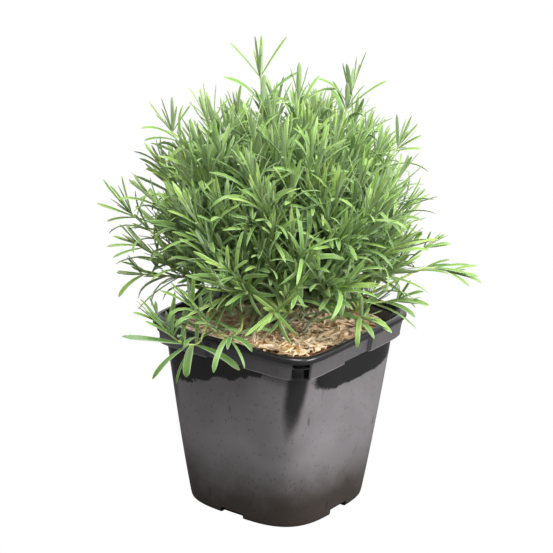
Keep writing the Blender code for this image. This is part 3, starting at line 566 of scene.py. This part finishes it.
def collar_radius(bearing, height):
    """The wall's radius, stepped out to the collar's except in the break in the middle of each side, and
    stepped back in each corner slot."""
    wall = wall_radius(bearing, height)
    up = height - COLLAR_BOTTOM
    share = up / (POT_HEIGHT - LIP_HEIGHT - COLLAR_BOTTOM)
    rounding = 0.5 * MM * (1 - np.clip(up / (0.7 * MM), 0, 1)) ** 2
    half = COLLAR_HALVES[0] + (COLLAR_HALVES[1] - COLLAR_HALVES[0]) * share - rounding
    proud = superellipse(bearing, half, 8.8 - 0.8 * share)
    block, slot = collar_share(bearing, height)
    return wall + (proud - wall) * block - np.minimum(SLOT_DEPTH, proud - wall + 2 * MM) * slot


def build_pot(finish):
    """Skin of rings, superellipses apart from the collar's: up the outside, over the lip, down the inside
    and over the floor."""
    lip = POT_HEIGHT - LIP_HEIGHT
    bearing = pot_bearings()
    rings = [(superellipse(bearing, wall_half(z) + inset, FOOT_SQUARENESS), z) for z, inset in FOOT_PROFILE]
    rings += [(wall_radius(bearing, z), z) for z in np.linspace(5 * MM, COLLAR_BOTTOM - 0.2 * MM, 30)]
    rings += [(collar_radius(bearing, z), z) for z in COLLAR_BOTTOM + COLLAR_LEVELS]
    rings += [(superellipse(bearing, RIM_HALF + inset, 7.2), lip + up) for up, inset in LIP_PROFILE]
    rings += [(wall_radius(bearing, z, WALL), z) for z in np.linspace(lip - 1.5 * MM, WALL + 3 * MM, 16)]
    rings.append((wall_radius(bearing, 0, WALL + 1.5 * MM), WALL))
    radius, height = zip(*rings)
    points = ring_points(np.array(radius), bearing, np.array(height)[:, None])
    mesh = cut_notches(ring_skin("nursery_pot", points))
    mesh.set_sharp_from_angle(angle=math.radians(48))
    new_piece(mesh, "pot", "black_plastic", finish)


def cut_notches(mesh):
    """The same mesh with a drain notch cut through the foot in the middle of each side."""
    pot = bpy.data.objects.new("pot_blank", mesh)
    middles = np.array([(1, 0, 0), (0, 1, 0), (-1, 0, 0), (0, -1, 0)])[:, None] * BASE_HALF
    halves = np.array([(6 * MM, NOTCH[0] / 2, NOTCH[1]), (NOTCH[0] / 2, 6 * MM, NOTCH[1])] * 2)[:, None]
    signs = np.array([(x, y, z) for z in (-1, 1) for x, y in ((-1, -1), (1, -1), (1, 1), (-1, 1))])
    boxes = new_mesh("notch_blocks", (middles + signs * halves).reshape(-1, 3), closed_tubes(4, 2, 4))
    blocks = bpy.data.objects.new("notch_blocks", boxes)
    for blank in (pot, blocks):
        bpy.context.scene.collection.objects.link(blank)
    cut = pot.modifiers.new("Notches", "BOOLEAN")
    cut.operation = "DIFFERENCE"
    cut.object = blocks
    bpy.context.view_layer.update()
    result = bpy.data.meshes.new_from_object(pot.evaluated_get(bpy.context.evaluated_depsgraph_get()))
    for blank in (pot, blocks):
        bpy.data.objects.remove(blank)
    bpy.data.meshes.remove(mesh)
    result.name = "nursery_pot"
    return result


# ---------------------------------------------------------------- what fills the pot

def mulch_level(x, y):
    """Height of the chips: higher towards the front corner, with a slight mound round the crown."""
    forward = np.clip(1.25 * (x - y) / (2 * WAIST_HALF), 0, 1)
    mound = 4 * MM * np.exp(-(x ** 2 + y ** 2) / (35 * MM) ** 2)
    return MULCH_LOW + MULCH_FRONT_RISE * forward ** 2 * (3 - 2 * forward) + mound


def ripple(points, length):
    """Smooth lumps of about the given length: a product of three sine waves, from -1 to 1."""
    turn = 2 * math.pi / length
    x, y, z = np.moveaxis(turn * points, -1, 0)
    return np.sin(x + 1.3 + 2 * np.sin(0.31 * y)) * np.sin(y + 0.4) * np.cos(0.9 * z)


def build_root_ball(finish):
    """Closed skin of superellipse rings, a little inside the wall, pushed in and out by lumps."""
    bearing = np.arange(160) * 2 * math.pi / 160
    low, high = ROOT_BALL_BOX[0][2], ROOT_BALL_BOX[1][2]
    heights = np.concatenate([[low], np.linspace(low + 1.5 * MM, high - 1.5 * MM, 60), [high]])[:, None]
    inset = WALL + 1.5 * MM + np.where((heights == low) | (heights == high), 2.5 * MM, 0)
    radius = wall_radius(bearing, heights, inset)
    points = ring_points(radius, bearing, heights)
    lumps = 0.5 * MM * ripple(points, 9 * MM) + 0.3 * MM * ripple(points + 0.02, 4 * MM)
    points[..., :2] *= (1 + lumps / radius)[..., None]
    new_piece(ring_skin("root_ball_rooted", points), "root_ball", "compost", finish)


def build_mulch_bed(finish):
    """Bed under the chips: rings from the wall in to the trunk's hole, at the chips' level with lumps, then
    down and back out along the bottom."""
    bearing = np.arange(180) * 2 * math.pi / 180
    share = np.concatenate([np.linspace(1, 0, 44), [0.0, 1.0]])[:, None]
    outer = wall_radius(bearing, MULCH_LOW, WALL + 1.0 * MM)
    points = ring_points(TRUNK_HOLE * (1 - share) + outer * share, bearing, 0.0)
    points[..., 2] = mulch_level(points[..., 0], points[..., 1]) - 1.2 * MM
    points[..., 2] += 0.7 * MM * ripple(points, 11 * MM) + 0.4 * MM * ripple(points, 5 * MM)
    points[-2:, :, 2] = ROOT_BALL_BOX[1][2] + 0.4 * MM
    closed = tube_faces(1, len(share) + 1, len(bearing)) % (len(share) * len(bearing))
    new_piece(new_mesh("mulch_bed", points.reshape(-1, 3), closed), "wood_chip_mulch", "wood_chips", finish)


def build_chips(finish):
    """Loose slivers: four-sided strips of four sections that taper, curl and twist a little, lying at random.

    A section's middle is c + t * length * forward + curl * t^2 * up, with t from -1/2 to 1/2.
    """
    count = CHIP_COUNT
    edge = wall_half(MULCH_LOW) - WALL - 2.5 * MM
    middle = random.uniform(-edge, edge, (count, 2))
    length = random.gamma(6.0, 2.4, count).clip(6, 27) * MM
    width = random.uniform(1.6, 4.6, count) * MM * (0.6 + 0.4 * length / (20 * MM))
    thick = random.uniform(0.45, 1.1, count) * MM
    yaw = random.uniform(0, math.pi, count)
    pitch = random.normal(0, 0.17, count)
    roll = random.normal(0, 0.55, count)
    curl = random.normal(0, 0.9, count) * MM
    forward = np.stack([np.cos(yaw) * np.cos(pitch), np.sin(yaw) * np.cos(pitch), np.sin(pitch)], axis=-1)
    level = unit(np.cross(UP, forward))
    upper = np.cross(forward, level)
    t = np.array([-0.5, -0.2, 0.2, 0.5])
    lift = random.uniform(0.2, 3.4, count) * MM + 0.35 * np.abs(np.sin(pitch)) * length
    level_there = mulch_level(middle[:, 0], middle[:, 1]) - 0.6 * MM
    centre = np.column_stack([middle, level_there + lift])
    spine = (centre[:, None] + t[None, :, None] * length[:, None, None] * forward[:, None]
             + (4 * t ** 2)[None, :, None] * curl[:, None, None] * upper[:, None])
    tapers = (0.15, 0.9), (0.8, 1.1), (0.8, 1.1), (0.15, 0.9)
    taper = np.stack([random.uniform(least, most, count) for least, most in tapers], axis=-1)
    turn = (roll[:, None] + t[None] * random.normal(0, 0.5, count)[:, None])[..., None]
    side = level[:, None] * np.cos(turn) + upper[:, None] * np.sin(turn)
    face = upper[:, None] * np.cos(turn) - level[:, None] * np.sin(turn)
    side *= (taper * width[:, None] / 2)[..., None]
    face *= (thick[:, None] / 2 * (0.6 + 0.4 * taper))[..., None]
    left_edge, right_edge = spine - side, spine + side
    points = np.stack([left_edge - face, left_edge + face, right_edge + face, right_edge - face], axis=2)
    bearing = np.arctan2(points[..., 1], points[..., 0])
    outside = np.hypot(points[..., 0], points[..., 1]) > wall_radius(bearing, MULCH_LOW, WALL + 1.3 * MM)
    beside_trunk = np.hypot(centre[:, 0], centre[:, 1]) < TRUNK_HOLE + 1 * MM
    too_high = points[..., 2] > POT_HEIGHT - 0.5 * MM
    kept = ~((outside | too_high).any(axis=(1, 2)) | beside_trunk)
    points = points[kept]
    mesh = new_mesh("wood_slivers", points.reshape(-1, 3), closed_tubes(len(points), 4, 4)[:, ::-1])
    tone = random.normal(0.64, 0.24, count).clip(0.0, 1)[kept]
    values = {"tone": tone[:, None, None], "reach": t[None, :, None], "edge": np.array([-1, -1, 1, 1])}
    set_values(mesh, **{name: np.broadcast_to(value, points.shape[:3]) for name, value in values.items()})
    mesh.set_sharp_from_angle(angle=math.radians(35))
    new_piece(mesh, "wood_chip_mulch", "wood_chips", finish)


# ---------------------------------------------------------------- routes of stems and limbs

def spiral_heading(index, count, lowest):
    """Directions number index of count, spread evenly from the top of a dome down to cosine lowest."""
    rise = 1 - (1 - lowest) * (index + 0.5) / count
    out = np.sqrt(1 - rise * rise)
    turn = index * GOLDEN_TURN
    return np.stack([out * np.cos(turn), out * np.sin(turn), rise], axis=-1)


def dome_point(heading, swell=1.0):
    """Where a direction from the dome's centre meets the foliage's outer surface, times a swelling."""
    out = np.hypot(heading[..., 0], heading[..., 1])
    inverse = (out / DOME_REACH) ** DOME_POWER + (np.abs(heading[..., 2]) / DOME_RISE) ** DOME_POWER
    return DOME_CENTRE * UP + heading * (inverse ** (-1 / DOME_POWER) * swell)[..., None]


def tip_lean(heading):
    """Direction of a shoot's tip: upright on top, leaning out and then level lower down."""
    polar = np.arccos(np.clip(heading[..., 2], -1, 1))
    lean = polar * (0.5 + 0.2 * (polar / (math.pi / 2)) ** 2)
    flat = unit(heading * np.array([1.0, 1.0, 0.0]) + 1e-9)
    return flat * np.sin(lean)[..., None] + UP * np.cos(lean)[..., None]


def knuckle_places():
    """Ends of the woody limbs, where the shoots start."""
    heading = spiral_heading(np.arange(LIMB_COUNT), LIMB_COUNT, LIMB_LOWEST)
    reach = LIMB_REACH[0] + LIMB_REACH[1] * np.sqrt(1 - heading[:, 2] ** 2)
    places = LIMB_START + heading * reach[:, None]
    places[:, 2] = np.maximum(places[:, 2], KNUCKLE_LOWEST)
    return places


def smooth_route(points, count):
    """Curve through the points, read off at count equal steps.

    Each span is a cubic Hermite curve; the slope at a point is the mean of the slopes of the two spans
    that meet there, the shorter span counting for more.
    """
    knots = np.array(points, dtype=float)
    spans = np.diff(knots, axis=0)
    lengths = np.linalg.norm(spans, axis=1)[:, None]
    slopes = spans / lengths
    inner = (slopes[:-1] * lengths[1:] + slopes[1:] * lengths[:-1]) / (lengths[:-1] + lengths[1:])
    tangents = np.vstack([slopes[:1], inner, slopes[-1:]])
    u = np.linspace(0, 1, 24, endpoint=False)[None, :, None]
    fine = ((1 - 3 * u ** 2 + 2 * u ** 3) * knots[:-1, None] + (3 * u ** 2 - 2 * u ** 3) * knots[1:, None]
            + lengths[:, None] * ((u - 2 * u ** 2 + u ** 3) * tangents[:-1, None]
                                  + (u ** 3 - u ** 2) * tangents[1:, None]))
    return even_steps(np.vstack([fine.reshape(-1, 3), knots[-1:]]), count)


def even_steps(line, count):
    """The same line at count points an equal distance apart."""
    travelled = np.concatenate([[0], np.cumsum(np.linalg.norm(np.diff(line, axis=0), axis=1))])
    return read_line(line, travelled, np.linspace(0, travelled[-1], count))


def read_line(line, travelled, distance):
    """Points at given distances along a line."""
    return np.stack([np.interp(distance, travelled, line[:, k]) for k in range(3)], axis=-1)


def leave_knuckle(knuckle, targets):
    """First two points of each stem on a knuckle: evenly spaced round the limb, each facing its target."""
    axis = unit(knuckle - LIMB_START)
    level = unit(np.cross(axis, np.array([0.13, 0.21, 0.97])))
    square = np.cross(axis, level)
    wanted = unit(np.array(targets) - knuckle)
    bearings = np.arctan2(wanted @ square, wanted @ level)
    order = np.argsort(bearings, kind="stable")
    spacing = 2 * math.pi / len(targets)
    slips = bearings[order] - spacing * np.arange(len(order))
    turned = math.atan2(np.sin(slips).sum(), np.cos(slips).sum()) + spacing * np.argsort(order)
    spread = KNUCKLE_SPREAD if len(targets) > 1 else 0.0
    away = (axis * math.cos(spread)
            + (level * np.cos(turned)[:, None] + square * np.sin(turned)[:, None]) * math.sin(spread))
    start = knuckle + away * KNUCKLE_RADIUS * 0.6
    return np.stack([start, start + unit(away + 0.6 * wanted) * 12 * MM], axis=1)


def main_routes(knuckles):
    """Centre lines of the frame's shoots by name: the placed ones, then the even spread of the dome."""
    ends = {name: [np.array(p) for p in through] for name, through in PLACED_SHOOTS.items()}
    placed_tips = np.array([points[-1] for points in ends.values()])
    leans = {}
    for heading in spiral_heading(np.arange(DOME_SHOOTS), DOME_SHOOTS, DOME_LOWEST):
        tip = dome_point(heading)
        if np.linalg.norm(placed_tips - tip, axis=1).min() > PLACED_SPACING:
            name = f"dome_shoot_{len(leans) + 1:02d}"
            leans[name] = tip_lean(heading)
            ends[name] = [tip]
    on_knuckle = [[] for _ in knuckles]
    limbs = unit(knuckles - LIMB_START)
    for name, points in ends.items():
        order = np.argsort(-(limbs @ unit(points[0] - LIMB_START)), kind="stable")
        chosen = next(k for k in order if len(on_knuckle[k]) < KNUCKLE_SHOOTS)
        on_knuckle[chosen].append(name)
    starts = {}
    for knuckle, names in zip(knuckles, on_knuckle):
        if names:
            starts.update(zip(names, leave_knuckle(knuckle, [ends[name][0] for name in names])))
    routes = {}
    for name, points in ends.items():
        if name in leans:
            reach = np.linalg.norm(points[0] - starts[name][1])
            points = [points[0] - leans[name] * 0.40 * reach, points[0]]
        routes[name] = smooth_route([*starts[name], *points], STEM_RINGS)
    return routes


def side_route(parent, leave_at, tip, lean):
    """Cubic Bezier curve that leaves the parent stem along its direction there and ends along the lean."""
    place = leave_at * (len(parent) - 1)
    before = int(place)
    start = parent[before] + (parent[before + 1] - parent[before]) * (place - before)
    heading = unit(parent[before + 1] - parent[before])
    reach = np.linalg.norm(tip - start)
    first = start + heading * 0.30 * reach
    last = tip - lean * 0.42 * reach
    u = np.linspace(0, 1, 40)[:, None]
    line = (1 - u) ** 3 * start + 3 * u * (1 - u) ** 2 * first + 3 * u ** 2 * (1 - u) * last + u ** 3 * tip
    return even_steps(line, STEM_RINGS)


# ---------------------------------------------------------------- stems and leaves

def frames_along(routes):
    """Direction and two square axes at each point of a stack of routes; the axes keep to one fixed side."""
    heading = unit(np.gradient(routes, axis=1))
    mean = unit(heading.mean(axis=1))
    steady = np.where(np.abs(mean[:, 2:]) < 0.75, UP, np.array([0.97, 0.2, 0.1]))
    level = unit(np.cross(heading, steady[:, None]))
    return heading, level, np.cross(heading, level)


def rings_along(routes, sides):
    """Directions from each point of a stack of routes to the corners of a ring round it."""
    _, level, square = frames_along(routes)
    turn = (np.arange(sides) * 2 * math.pi / sides)[:, None]
    return level[:, :, None] * np.cos(turn) + square[:, :, None] * np.sin(turn)


def stem_points(routes, foot_radius, tip_radius):
    """Six-sided tubes: at each point of a route a ring of radius r, which falls evenly from foot to tip."""
    share = np.linspace(0, 1, routes.shape[1])[None, :, None, None]
    radius = foot_radius[:, None, None, None] * (1 - share) + tip_radius[:, None, None, None] * share
    return routes[:, :, None] + rings_along(routes, 6) * radius


LEAF_SHARE = np.array([0.0, 0.06, 0.18, 0.34, 0.52, 0.70, 0.85, 0.95, 1.0])
RING_ACROSS = np.array([1.0, 0.52, 0.0, -0.52, -1.0, 0.0])      # share of the half width
RING_ABOVE = np.array([-0.20, 0.16, 0.0, 0.16, -0.20, -0.42])   # rolled margins, channel, keel below
RING_EDGE = np.array([1.0, 0.55, 0.0, 0.55, 1.0, 2.0])          # 0 the channel, 1 the margin, 2 the keel


def leaf_points(leaves):
    """Closed leaf surfaces, nine six-point sections each.

    The middle line turns away from the stem: at share s of the length its direction makes the angle
    a + bend * s^1.4 with the stem, plus a pull upwards that grows with s. The half width is
    w/2 * (0.45 + 0.55 sin(pi/2 * min(3 s, 1))) * (1 - 0.85 * (max(s - 0.72, 0) / 0.28)^2.8).
    """
    share = LEAF_SHARE[None, :, None]
    length, width, angle, bend, lift, roll, fold = (leaves[key][:, None, None] for key in (
        "length", "width", "angle", "bend", "lift", "roll", "fold"))
    angle = np.radians(angle + bend * share ** 1.4)
    heading = leaves["stem"][:, None] * np.cos(angle) + leaves["outward"][:, None] * np.sin(angle)
    heading = unit(heading + UP * lift * share)
    steps = (heading[:, 1:] + heading[:, :-1]) / 2 * np.diff(LEAF_SHARE)[None, :, None]
    spine = np.concatenate([np.zeros_like(heading[:, :1]), np.cumsum(steps, axis=1)], axis=1)
    spine = leaves["base"][:, None] + spine * length
    flat = np.cross(leaves["stem"], leaves["outward"])[:, None]
    flat = unit(flat - heading * (flat * heading).sum(axis=-1, keepdims=True))
    above = np.cross(heading, flat)
    turn = roll * share
    across = flat * np.cos(turn) + above * np.sin(turn)
    above = above * np.cos(turn) - flat * np.sin(turn)
    profile = ((0.45 + 0.55 * np.sin(math.pi / 2 * np.minimum(3 * share, 1)))
               * (1 - 0.85 * (np.maximum(share - 0.72, 0) / 0.28) ** 2.8))
    half = (width / 2 * profile)[..., None]
    cup = fold[..., None] * np.abs(RING_ACROSS)[:, None]
    return (spine[:, :, None] + across[:, :, None] * half * RING_ACROSS[:, None]
            + above[:, :, None] * half * (RING_ABOVE[:, None] + cup))


def length_along(route):
    """Distance travelled at each point of a route."""
    return np.linspace(0, np.linalg.norm(np.diff(route, axis=0), axis=1).sum(), len(route))


def set_leaves(route, rows, tone):
    """The leaves of one shoot that stand where their rows put them."""
    from_tip, length, width, bearing, rise, droop, twist = np.array(rows, dtype=float).T
    travelled = length_along(route)
    bearing = np.radians(bearing)
    count = len(rows)
    return {
        "base": read_line(route, travelled, travelled[-1] - from_tip * MM),
        "stem": np.tile(UP, (count, 1)),
        "outward": np.stack([np.cos(bearing), np.sin(bearing), np.zeros(count)], axis=-1),
        "length": length * MM,
        "width": width * MM,
        "angle": 90 - rise,
        "bend": droop,
        "lift": np.zeros(count),
        "roll": np.radians(twist),
        "fold": random.uniform(0.05, 0.40, count),
        "tone": (tone - 0.05 - 0.010 * from_tip + random.normal(0, 0.08, count)).clip(0, 1),
    }


def shoot_leaves(route, growth, tone, set_down_to=0.0):
    """Even growth of one shoot: opposite pairs, each a quarter turn from the last, and axil leaves.

    Growth scales the spacing of the pairs and the leaves' length, width and opening angle; leaves start
    above a bare share of the stem. Where leaves are listed one by one, only the two youngest pairs stand
    above the distance that they reach down to.
    """
    spacing, long, wide, opening, bare = growth
    travelled = length_along(route)
    from_tip = LEAF_PAIRS[:, 0] * MM * spacing
    distance = travelled[-1] - from_tip
    free = (np.arange(len(LEAF_PAIRS)) < 2) | (from_tip > set_down_to)
    pairs = np.flatnonzero(free & (distance > bare * travelled[-1]))
    heading, level = (axis[0] for axis in frames_along(route[None])[:2])
    first_turn = random.uniform(0, math.pi)
    sets = []
    for axil in (False, True):
        chosen = pairs[pairs >= AXIL_FROM_PAIR] if axil else pairs
        pair = np.repeat(chosen, 2)
        if len(pair) == 0:
            continue
        count = len(pair)
        size, width, angle, bend = LEAF_PAIRS[pair, 1:].T
        if axil:
            size, width = size * random.uniform(0.30, 0.55, count), width * 0.55
            angle, bend = angle * 0.45, bend * 0.2
        at = distance[pair] + (0.8 * MM if axil else 0.0)
        stem = unit(read_line(heading, travelled, at))
        turn = (first_turn + pair * math.pi / 2 + np.tile([0, math.pi], count // 2)
                + random.normal(0, 0.45 if axil else 0.16, count))
        side = read_line(level, travelled, at)
        outward = side * np.cos(turn)[:, None] + np.cross(stem, side) * np.sin(turn)[:, None]
        outward = unit(outward - stem * (outward * stem).sum(axis=1, keepdims=True))
        age = pair / len(LEAF_PAIRS)
        sets.append({
            "base": read_line(route, travelled, at) + outward * 0.5 * MM,
            "stem": stem,
            "outward": outward,
            "length": size * MM * long * random.normal(1, 0.11, count).clip(0.7, 1.3),
            "width": width * MM * wide * random.normal(1, 0.10, count).clip(0.75, 1.3),
            "angle": angle * opening + random.normal(0, 5.0, count),
            "bend": bend * random.normal(1, 0.50, count).clip(-0.2, 2.2),
            "lift": 0.04 + random.normal(0, 0.14, count),
            "roll": random.normal(0, 0.35, count),
            "fold": random.uniform(0.05, 0.40, count),
            "tone": (tone + 0.34 - 0.80 * age + random.normal(0, 0.08, count)).clip(0, 1),
        })
    return sets


def build_shoot(node, stems, leaf_sets, finishes):
    """One piece for a node: its stems as tubes and all their leaves, in one mesh with two finishes."""
    routes, foot, tip, ages = (np.array(values) for values in zip(*stems))
    tubes = stem_points(routes, foot, tip)
    leaves = {key: np.concatenate([leaf_set[key] for leaf_set in leaf_sets]) for key in leaf_sets[0]}
    blades = leaf_points(leaves)
    tube_total = len(tubes) * STEM_RINGS * 6
    tube_quads = closed_tubes(len(tubes), STEM_RINGS, 6)
    blade_quads = closed_tubes(len(blades), len(LEAF_SHARE), 6) + tube_total
    mesh = new_mesh(f"{node}_in_leaf", np.vstack([tubes.reshape(-1, 3), blades.reshape(-1, 3)]),
                    tube_quads, blade_quads)
    stem_reach = ages[:, :1] + (ages[:, 1:] - ages[:, :1]) * np.linspace(0, 1, STEM_RINGS)
    on_stems = {"reach": np.repeat(stem_reach.ravel(), 6), "edge": np.zeros(tube_total),
                "tone": np.full(tube_total, 0.5)}
    on_blades = {"reach": LEAF_SHARE[None, :, None], "edge": RING_EDGE, "tone": leaves["tone"][:, None, None]}
    spread = {name: np.broadcast_to(value, blades.shape[:3]).ravel() for name, value in on_blades.items()}
    set_values(mesh, **{name: np.concatenate([on_stems[name], spread[name]]) for name in spread})
    new_piece(mesh, node, "shoot_green", *finishes)
    mesh.polygons.foreach_set("material_index", np.repeat([0, 1], [len(tube_quads), len(blade_quads)]))
    mesh.set_sharp_from_angle(angle=math.radians(70))


# How a shoot grows: pair spacing, leaf length, leaf width, opening angle, bare share of the stem
USUAL = (1.0, 1.0, 1.0, 1.0, 0.18)
PLAIN_SHOOTS = ("rim_shoot_1", "rim_shoot_2", "right_trailing_shoot")       # these carry no side shoots


def main_leaves(name, route):
    """Leaves of one of the frame's shoots: those listed one by one, if it has any, and even growth."""
    tone = random.normal(0.60, 0.08)
    rows = SET_LEAVES.get(name)
    if not rows:
        return shoot_leaves(route, USUAL, tone)
    reach = length_along(route)[-1] if name in PLAIN_SHOOTS else (max(row[0] for row in rows) + 8) * MM
    return [set_leaves(route, rows, tone), *shoot_leaves(route, USUAL, tone, reach)]


def build_foliage(knuckles, finishes):
    """Every shoot of the frame, and the finer side shoots that branch from them. A stem is its route, its
    radius at the foot and the tip, and how far up a whole shoot those two ends are."""
    routes = main_routes(knuckles)
    stems = {name: [(route, 1.5 * MM, 0.7 * MM, (0.0, 1.0))] for name, route in routes.items()}
    leaf_sets = {name: main_leaves(name, route) for name, route in routes.items()}
    parents = [name for name in routes if name not in PLAIN_SHOOTS]
    tips = np.array([routes[name][-1] for name in parents])
    for count, lowest, least_swell, most_swell, lightness in SHOOT_LAYERS:
        headings = spiral_heading(np.arange(count) + 0.37, count, lowest)
        headings = unit(headings + random.normal(0, 0.07, headings.shape))
        swells = random.uniform(least_swell, most_swell, count)
        swells *= 0.88 + 0.12 * headings[:, 2].clip(0, 1)
        for heading, swell in zip(headings, swells):
            tip = dome_point(heading, swell)
            name = parents[np.linalg.norm(tips - tip, axis=1).argmin()]
            leave_at = random.uniform(0.22, 0.50)
            lean = unit(tip_lean(heading) + 0.45 * UP + random.normal(0, 0.14, 3))
            route = side_route(routes[name], leave_at, tip, lean)
            growth = (random.uniform(0.85, 1.15), random.uniform(0.85, 1.1), 1.0,
                      random.uniform(0.8, 1.1), random.uniform(0.05, 0.25))
            stems[name].append((route, 1.15 * MM, 0.6 * MM, (0.35, 1.0)))
            # The layer's lightness makes the inner layers' leaves darker: painted shade inside the foliage.
            leaf_sets[name] += shoot_leaves(route, growth, random.normal(lightness, 0.10))
    for name in routes:
        build_shoot(name, stems[name], leaf_sets[name], finishes)


def build_crown(knuckles, finish):
    """Trunk and bowed limbs as twelve-sided tubes with swollen ends, roughened, in one mesh."""
    foot, top = CROWN_BOX[0][2], LIMB_START[2] + 7 * MM
    trunk = [(0, 0, foot), (1.2 * MM, -0.8 * MM, foot + 16 * MM), (0.6 * MM, 0.6 * MM, top)]
    ways = [trunk]
    for index, knuckle in enumerate(knuckles):
        bow = (LIMB_START + knuckle) / 2 + UP * (3 + index % 3) * MM
        ways.append([LIMB_START, bow, knuckle + unit(knuckle - LIMB_START) * 3 * MM])
    routes = np.array([smooth_route(way, STEM_RINGS) for way in ways])
    sides, total = 12, len(ways)
    share = np.linspace(0, 1, STEM_RINGS)
    limb = 3.6 * MM - 1.0 * MM * share + 2.6 * MM * np.exp(-((share - 0.90) / 0.07) ** 2)
    limb[-1] *= 0.45
    radius = np.vstack([8.2 * MM - 0.7 * MM * share, np.tile(limb, (len(knuckles), 1))])
    ring = rings_along(routes, sides)
    points = routes[:, :, None] + ring * radius[:, :, None, None]
    points += ring * (0.35 * MM * ripple(points, 6 * MM))[..., None]
    middles = routes[:, [0, -1]].reshape(-1, 3)
    around, caps = np.arange(sides), []
    for index in range(total):
        first, middle = index * STEM_RINGS * sides, total * STEM_RINGS * sides + 2 * index
        caps += [fan(first + around, middle, outward=False),
                 fan(first + (STEM_RINGS - 1) * sides + around, middle + 1)]
    mesh = new_mesh("crown_with_bark", np.vstack([points.reshape(-1, 3), middles]),
                    tube_faces(total, STEM_RINGS, sides), np.concatenate(caps))
    new_piece(mesh, "woody_crown", "bark", finish)


# ---------------------------------------------------------------- stage

VIEW_AZIMUTH = math.radians(35.673)
VIEW_ELEVATION = math.radians(18.816)
VIEW_ROLL = math.radians(1.308)
VIEW_PLACE = (0.99217, -1.39006, 0.79175)
LENS = 131.27
LIGHT_AIM = 0.2           # height of the place that the lights look at
SURROUND_DIM = 0.24
SURROUND_BRIGHT = 1.15


def placed_by_axes(right, up, back, place):
    """Matrix of an object with these three axes at this place."""
    return Matrix([(right[i], up[i], back[i], place[i]) for i in range(3)] + [(0, 0, 0, 1)])


def build_camera():
    """Camera whose axes are its right, its up and the way back from the object, turned by the roll."""
    level = np.array([math.cos(VIEW_AZIMUTH), math.sin(VIEW_AZIMUTH), 0.0])
    toward = np.array([level[1], -level[0], 0.0])
    back = toward * math.cos(VIEW_ELEVATION) + UP * math.sin(VIEW_ELEVATION)
    upright = np.cross(back, level)
    right = level * math.cos(VIEW_ROLL) + upright * math.sin(VIEW_ROLL)
    up = upright * math.cos(VIEW_ROLL) - level * math.sin(VIEW_ROLL)
    lens = bpy.data.cameras.new("camera")
    lens.lens = LENS
    lens.sensor_width = 36.0
    camera = bpy.data.objects.new("camera", lens)
    camera.matrix_world = placed_by_axes(right, up, back, VIEW_PLACE)
    bpy.context.scene.collection.objects.link(camera)
    bpy.context.scene.camera = camera


def aim_light(name, place, size, power):
    """White square area light that looks at the middle of the object."""
    lamp = bpy.data.lights.new(name, "AREA")
    lamp.shape = "SQUARE"
    lamp.size = size
    lamp.energy = power
    light = bpy.data.objects.new(name, lamp)
    back = unit(np.array(place) - LIGHT_AIM * UP)
    right = unit(np.cross(UP, back))
    light.matrix_world = placed_by_axes(right, np.cross(back, right), back, place)
    bpy.context.scene.collection.objects.link(light)


def build_floor():
    """Floor that is pure white to the eye and gives the object only the light of grey card."""
    finish, tree, _ = new_finish("white_studio_floor")
    seen = add(tree, "LightPath").outputs["Is Camera Ray"]
    matt = add(tree, "BsdfDiffuse", {"Color": linear("5E5E5E")})
    glow = add(tree, "Emission", {"Color": linear("FFFFFF"), "Strength": 1.0})
    add(tree, "OutputMaterial", [add(tree, "MixShader", [seen, matt, glow])])
    half, level = 12.0, -0.3 * MM
    corners = [(x * half, y * half, level) for x, y in ((-1, -1), (1, -1), (1, 1), (-1, 1))]
    mesh = new_mesh("studio_floor", corners, np.array([(0, 1, 2, 3)]))
    mesh.materials.append(finish)
    floor = bpy.data.objects.new("studio_floor", mesh)
    bpy.context.scene.collection.objects.link(floor)


def build_surround():
    """White surround to the eye; as a light it is bright overhead and behind the object, dimmer in front."""
    world = bpy.data.worlds.new("white_surround")
    world.use_nodes = True
    tree = world.node_tree
    tree.nodes.clear()
    direction = add(tree, "TexCoord").outputs["Generated"]
    behind = add(tree, "VectorMath", [direction, (0.25, 0.55, 0.80)], operation="DOT_PRODUCT")
    strength = add(tree, "MapRange", [behind.outputs["Value"], -0.55, 0.75, SURROUND_DIM, SURROUND_BRIGHT],
                   **SMOOTH)
    seen = add(tree, "LightPath").outputs["Is Camera Ray"]
    strength = add(tree, "Mix", {0: seen, 2: strength, 3: 1.0}, data_type="FLOAT")
    background = add(tree, "Background", {"Color": linear("FFFFFF"), "Strength": strength})
    add(tree, "OutputWorld", [background])
    bpy.context.scene.world = world


def build_stage():
    """White studio with a wide soft light overhead and one behind to the right."""
    build_floor()
    build_surround()
    bpy.context.scene.view_settings.view_transform = "Standard"
    aim_light("overhead_softbox", (0.5, -1.2, 3.3), 2.0, 178)
    aim_light("right_softbox", (3.4, 0.4, 1.6), 2.0, 190)
    build_camera()


def main():
    build_stage()
    build_pot(black_polypropylene())
    build_root_ball(rooted_compost())
    build_mulch_bed(crumbs_and_gap_shade())
    build_chips(spruce_slivers())
    knuckles = knuckle_places()
    build_crown(knuckles, lavender_bark())
    build_foliage(knuckles, (lavender_stem(), lavender_leaf()))


main()
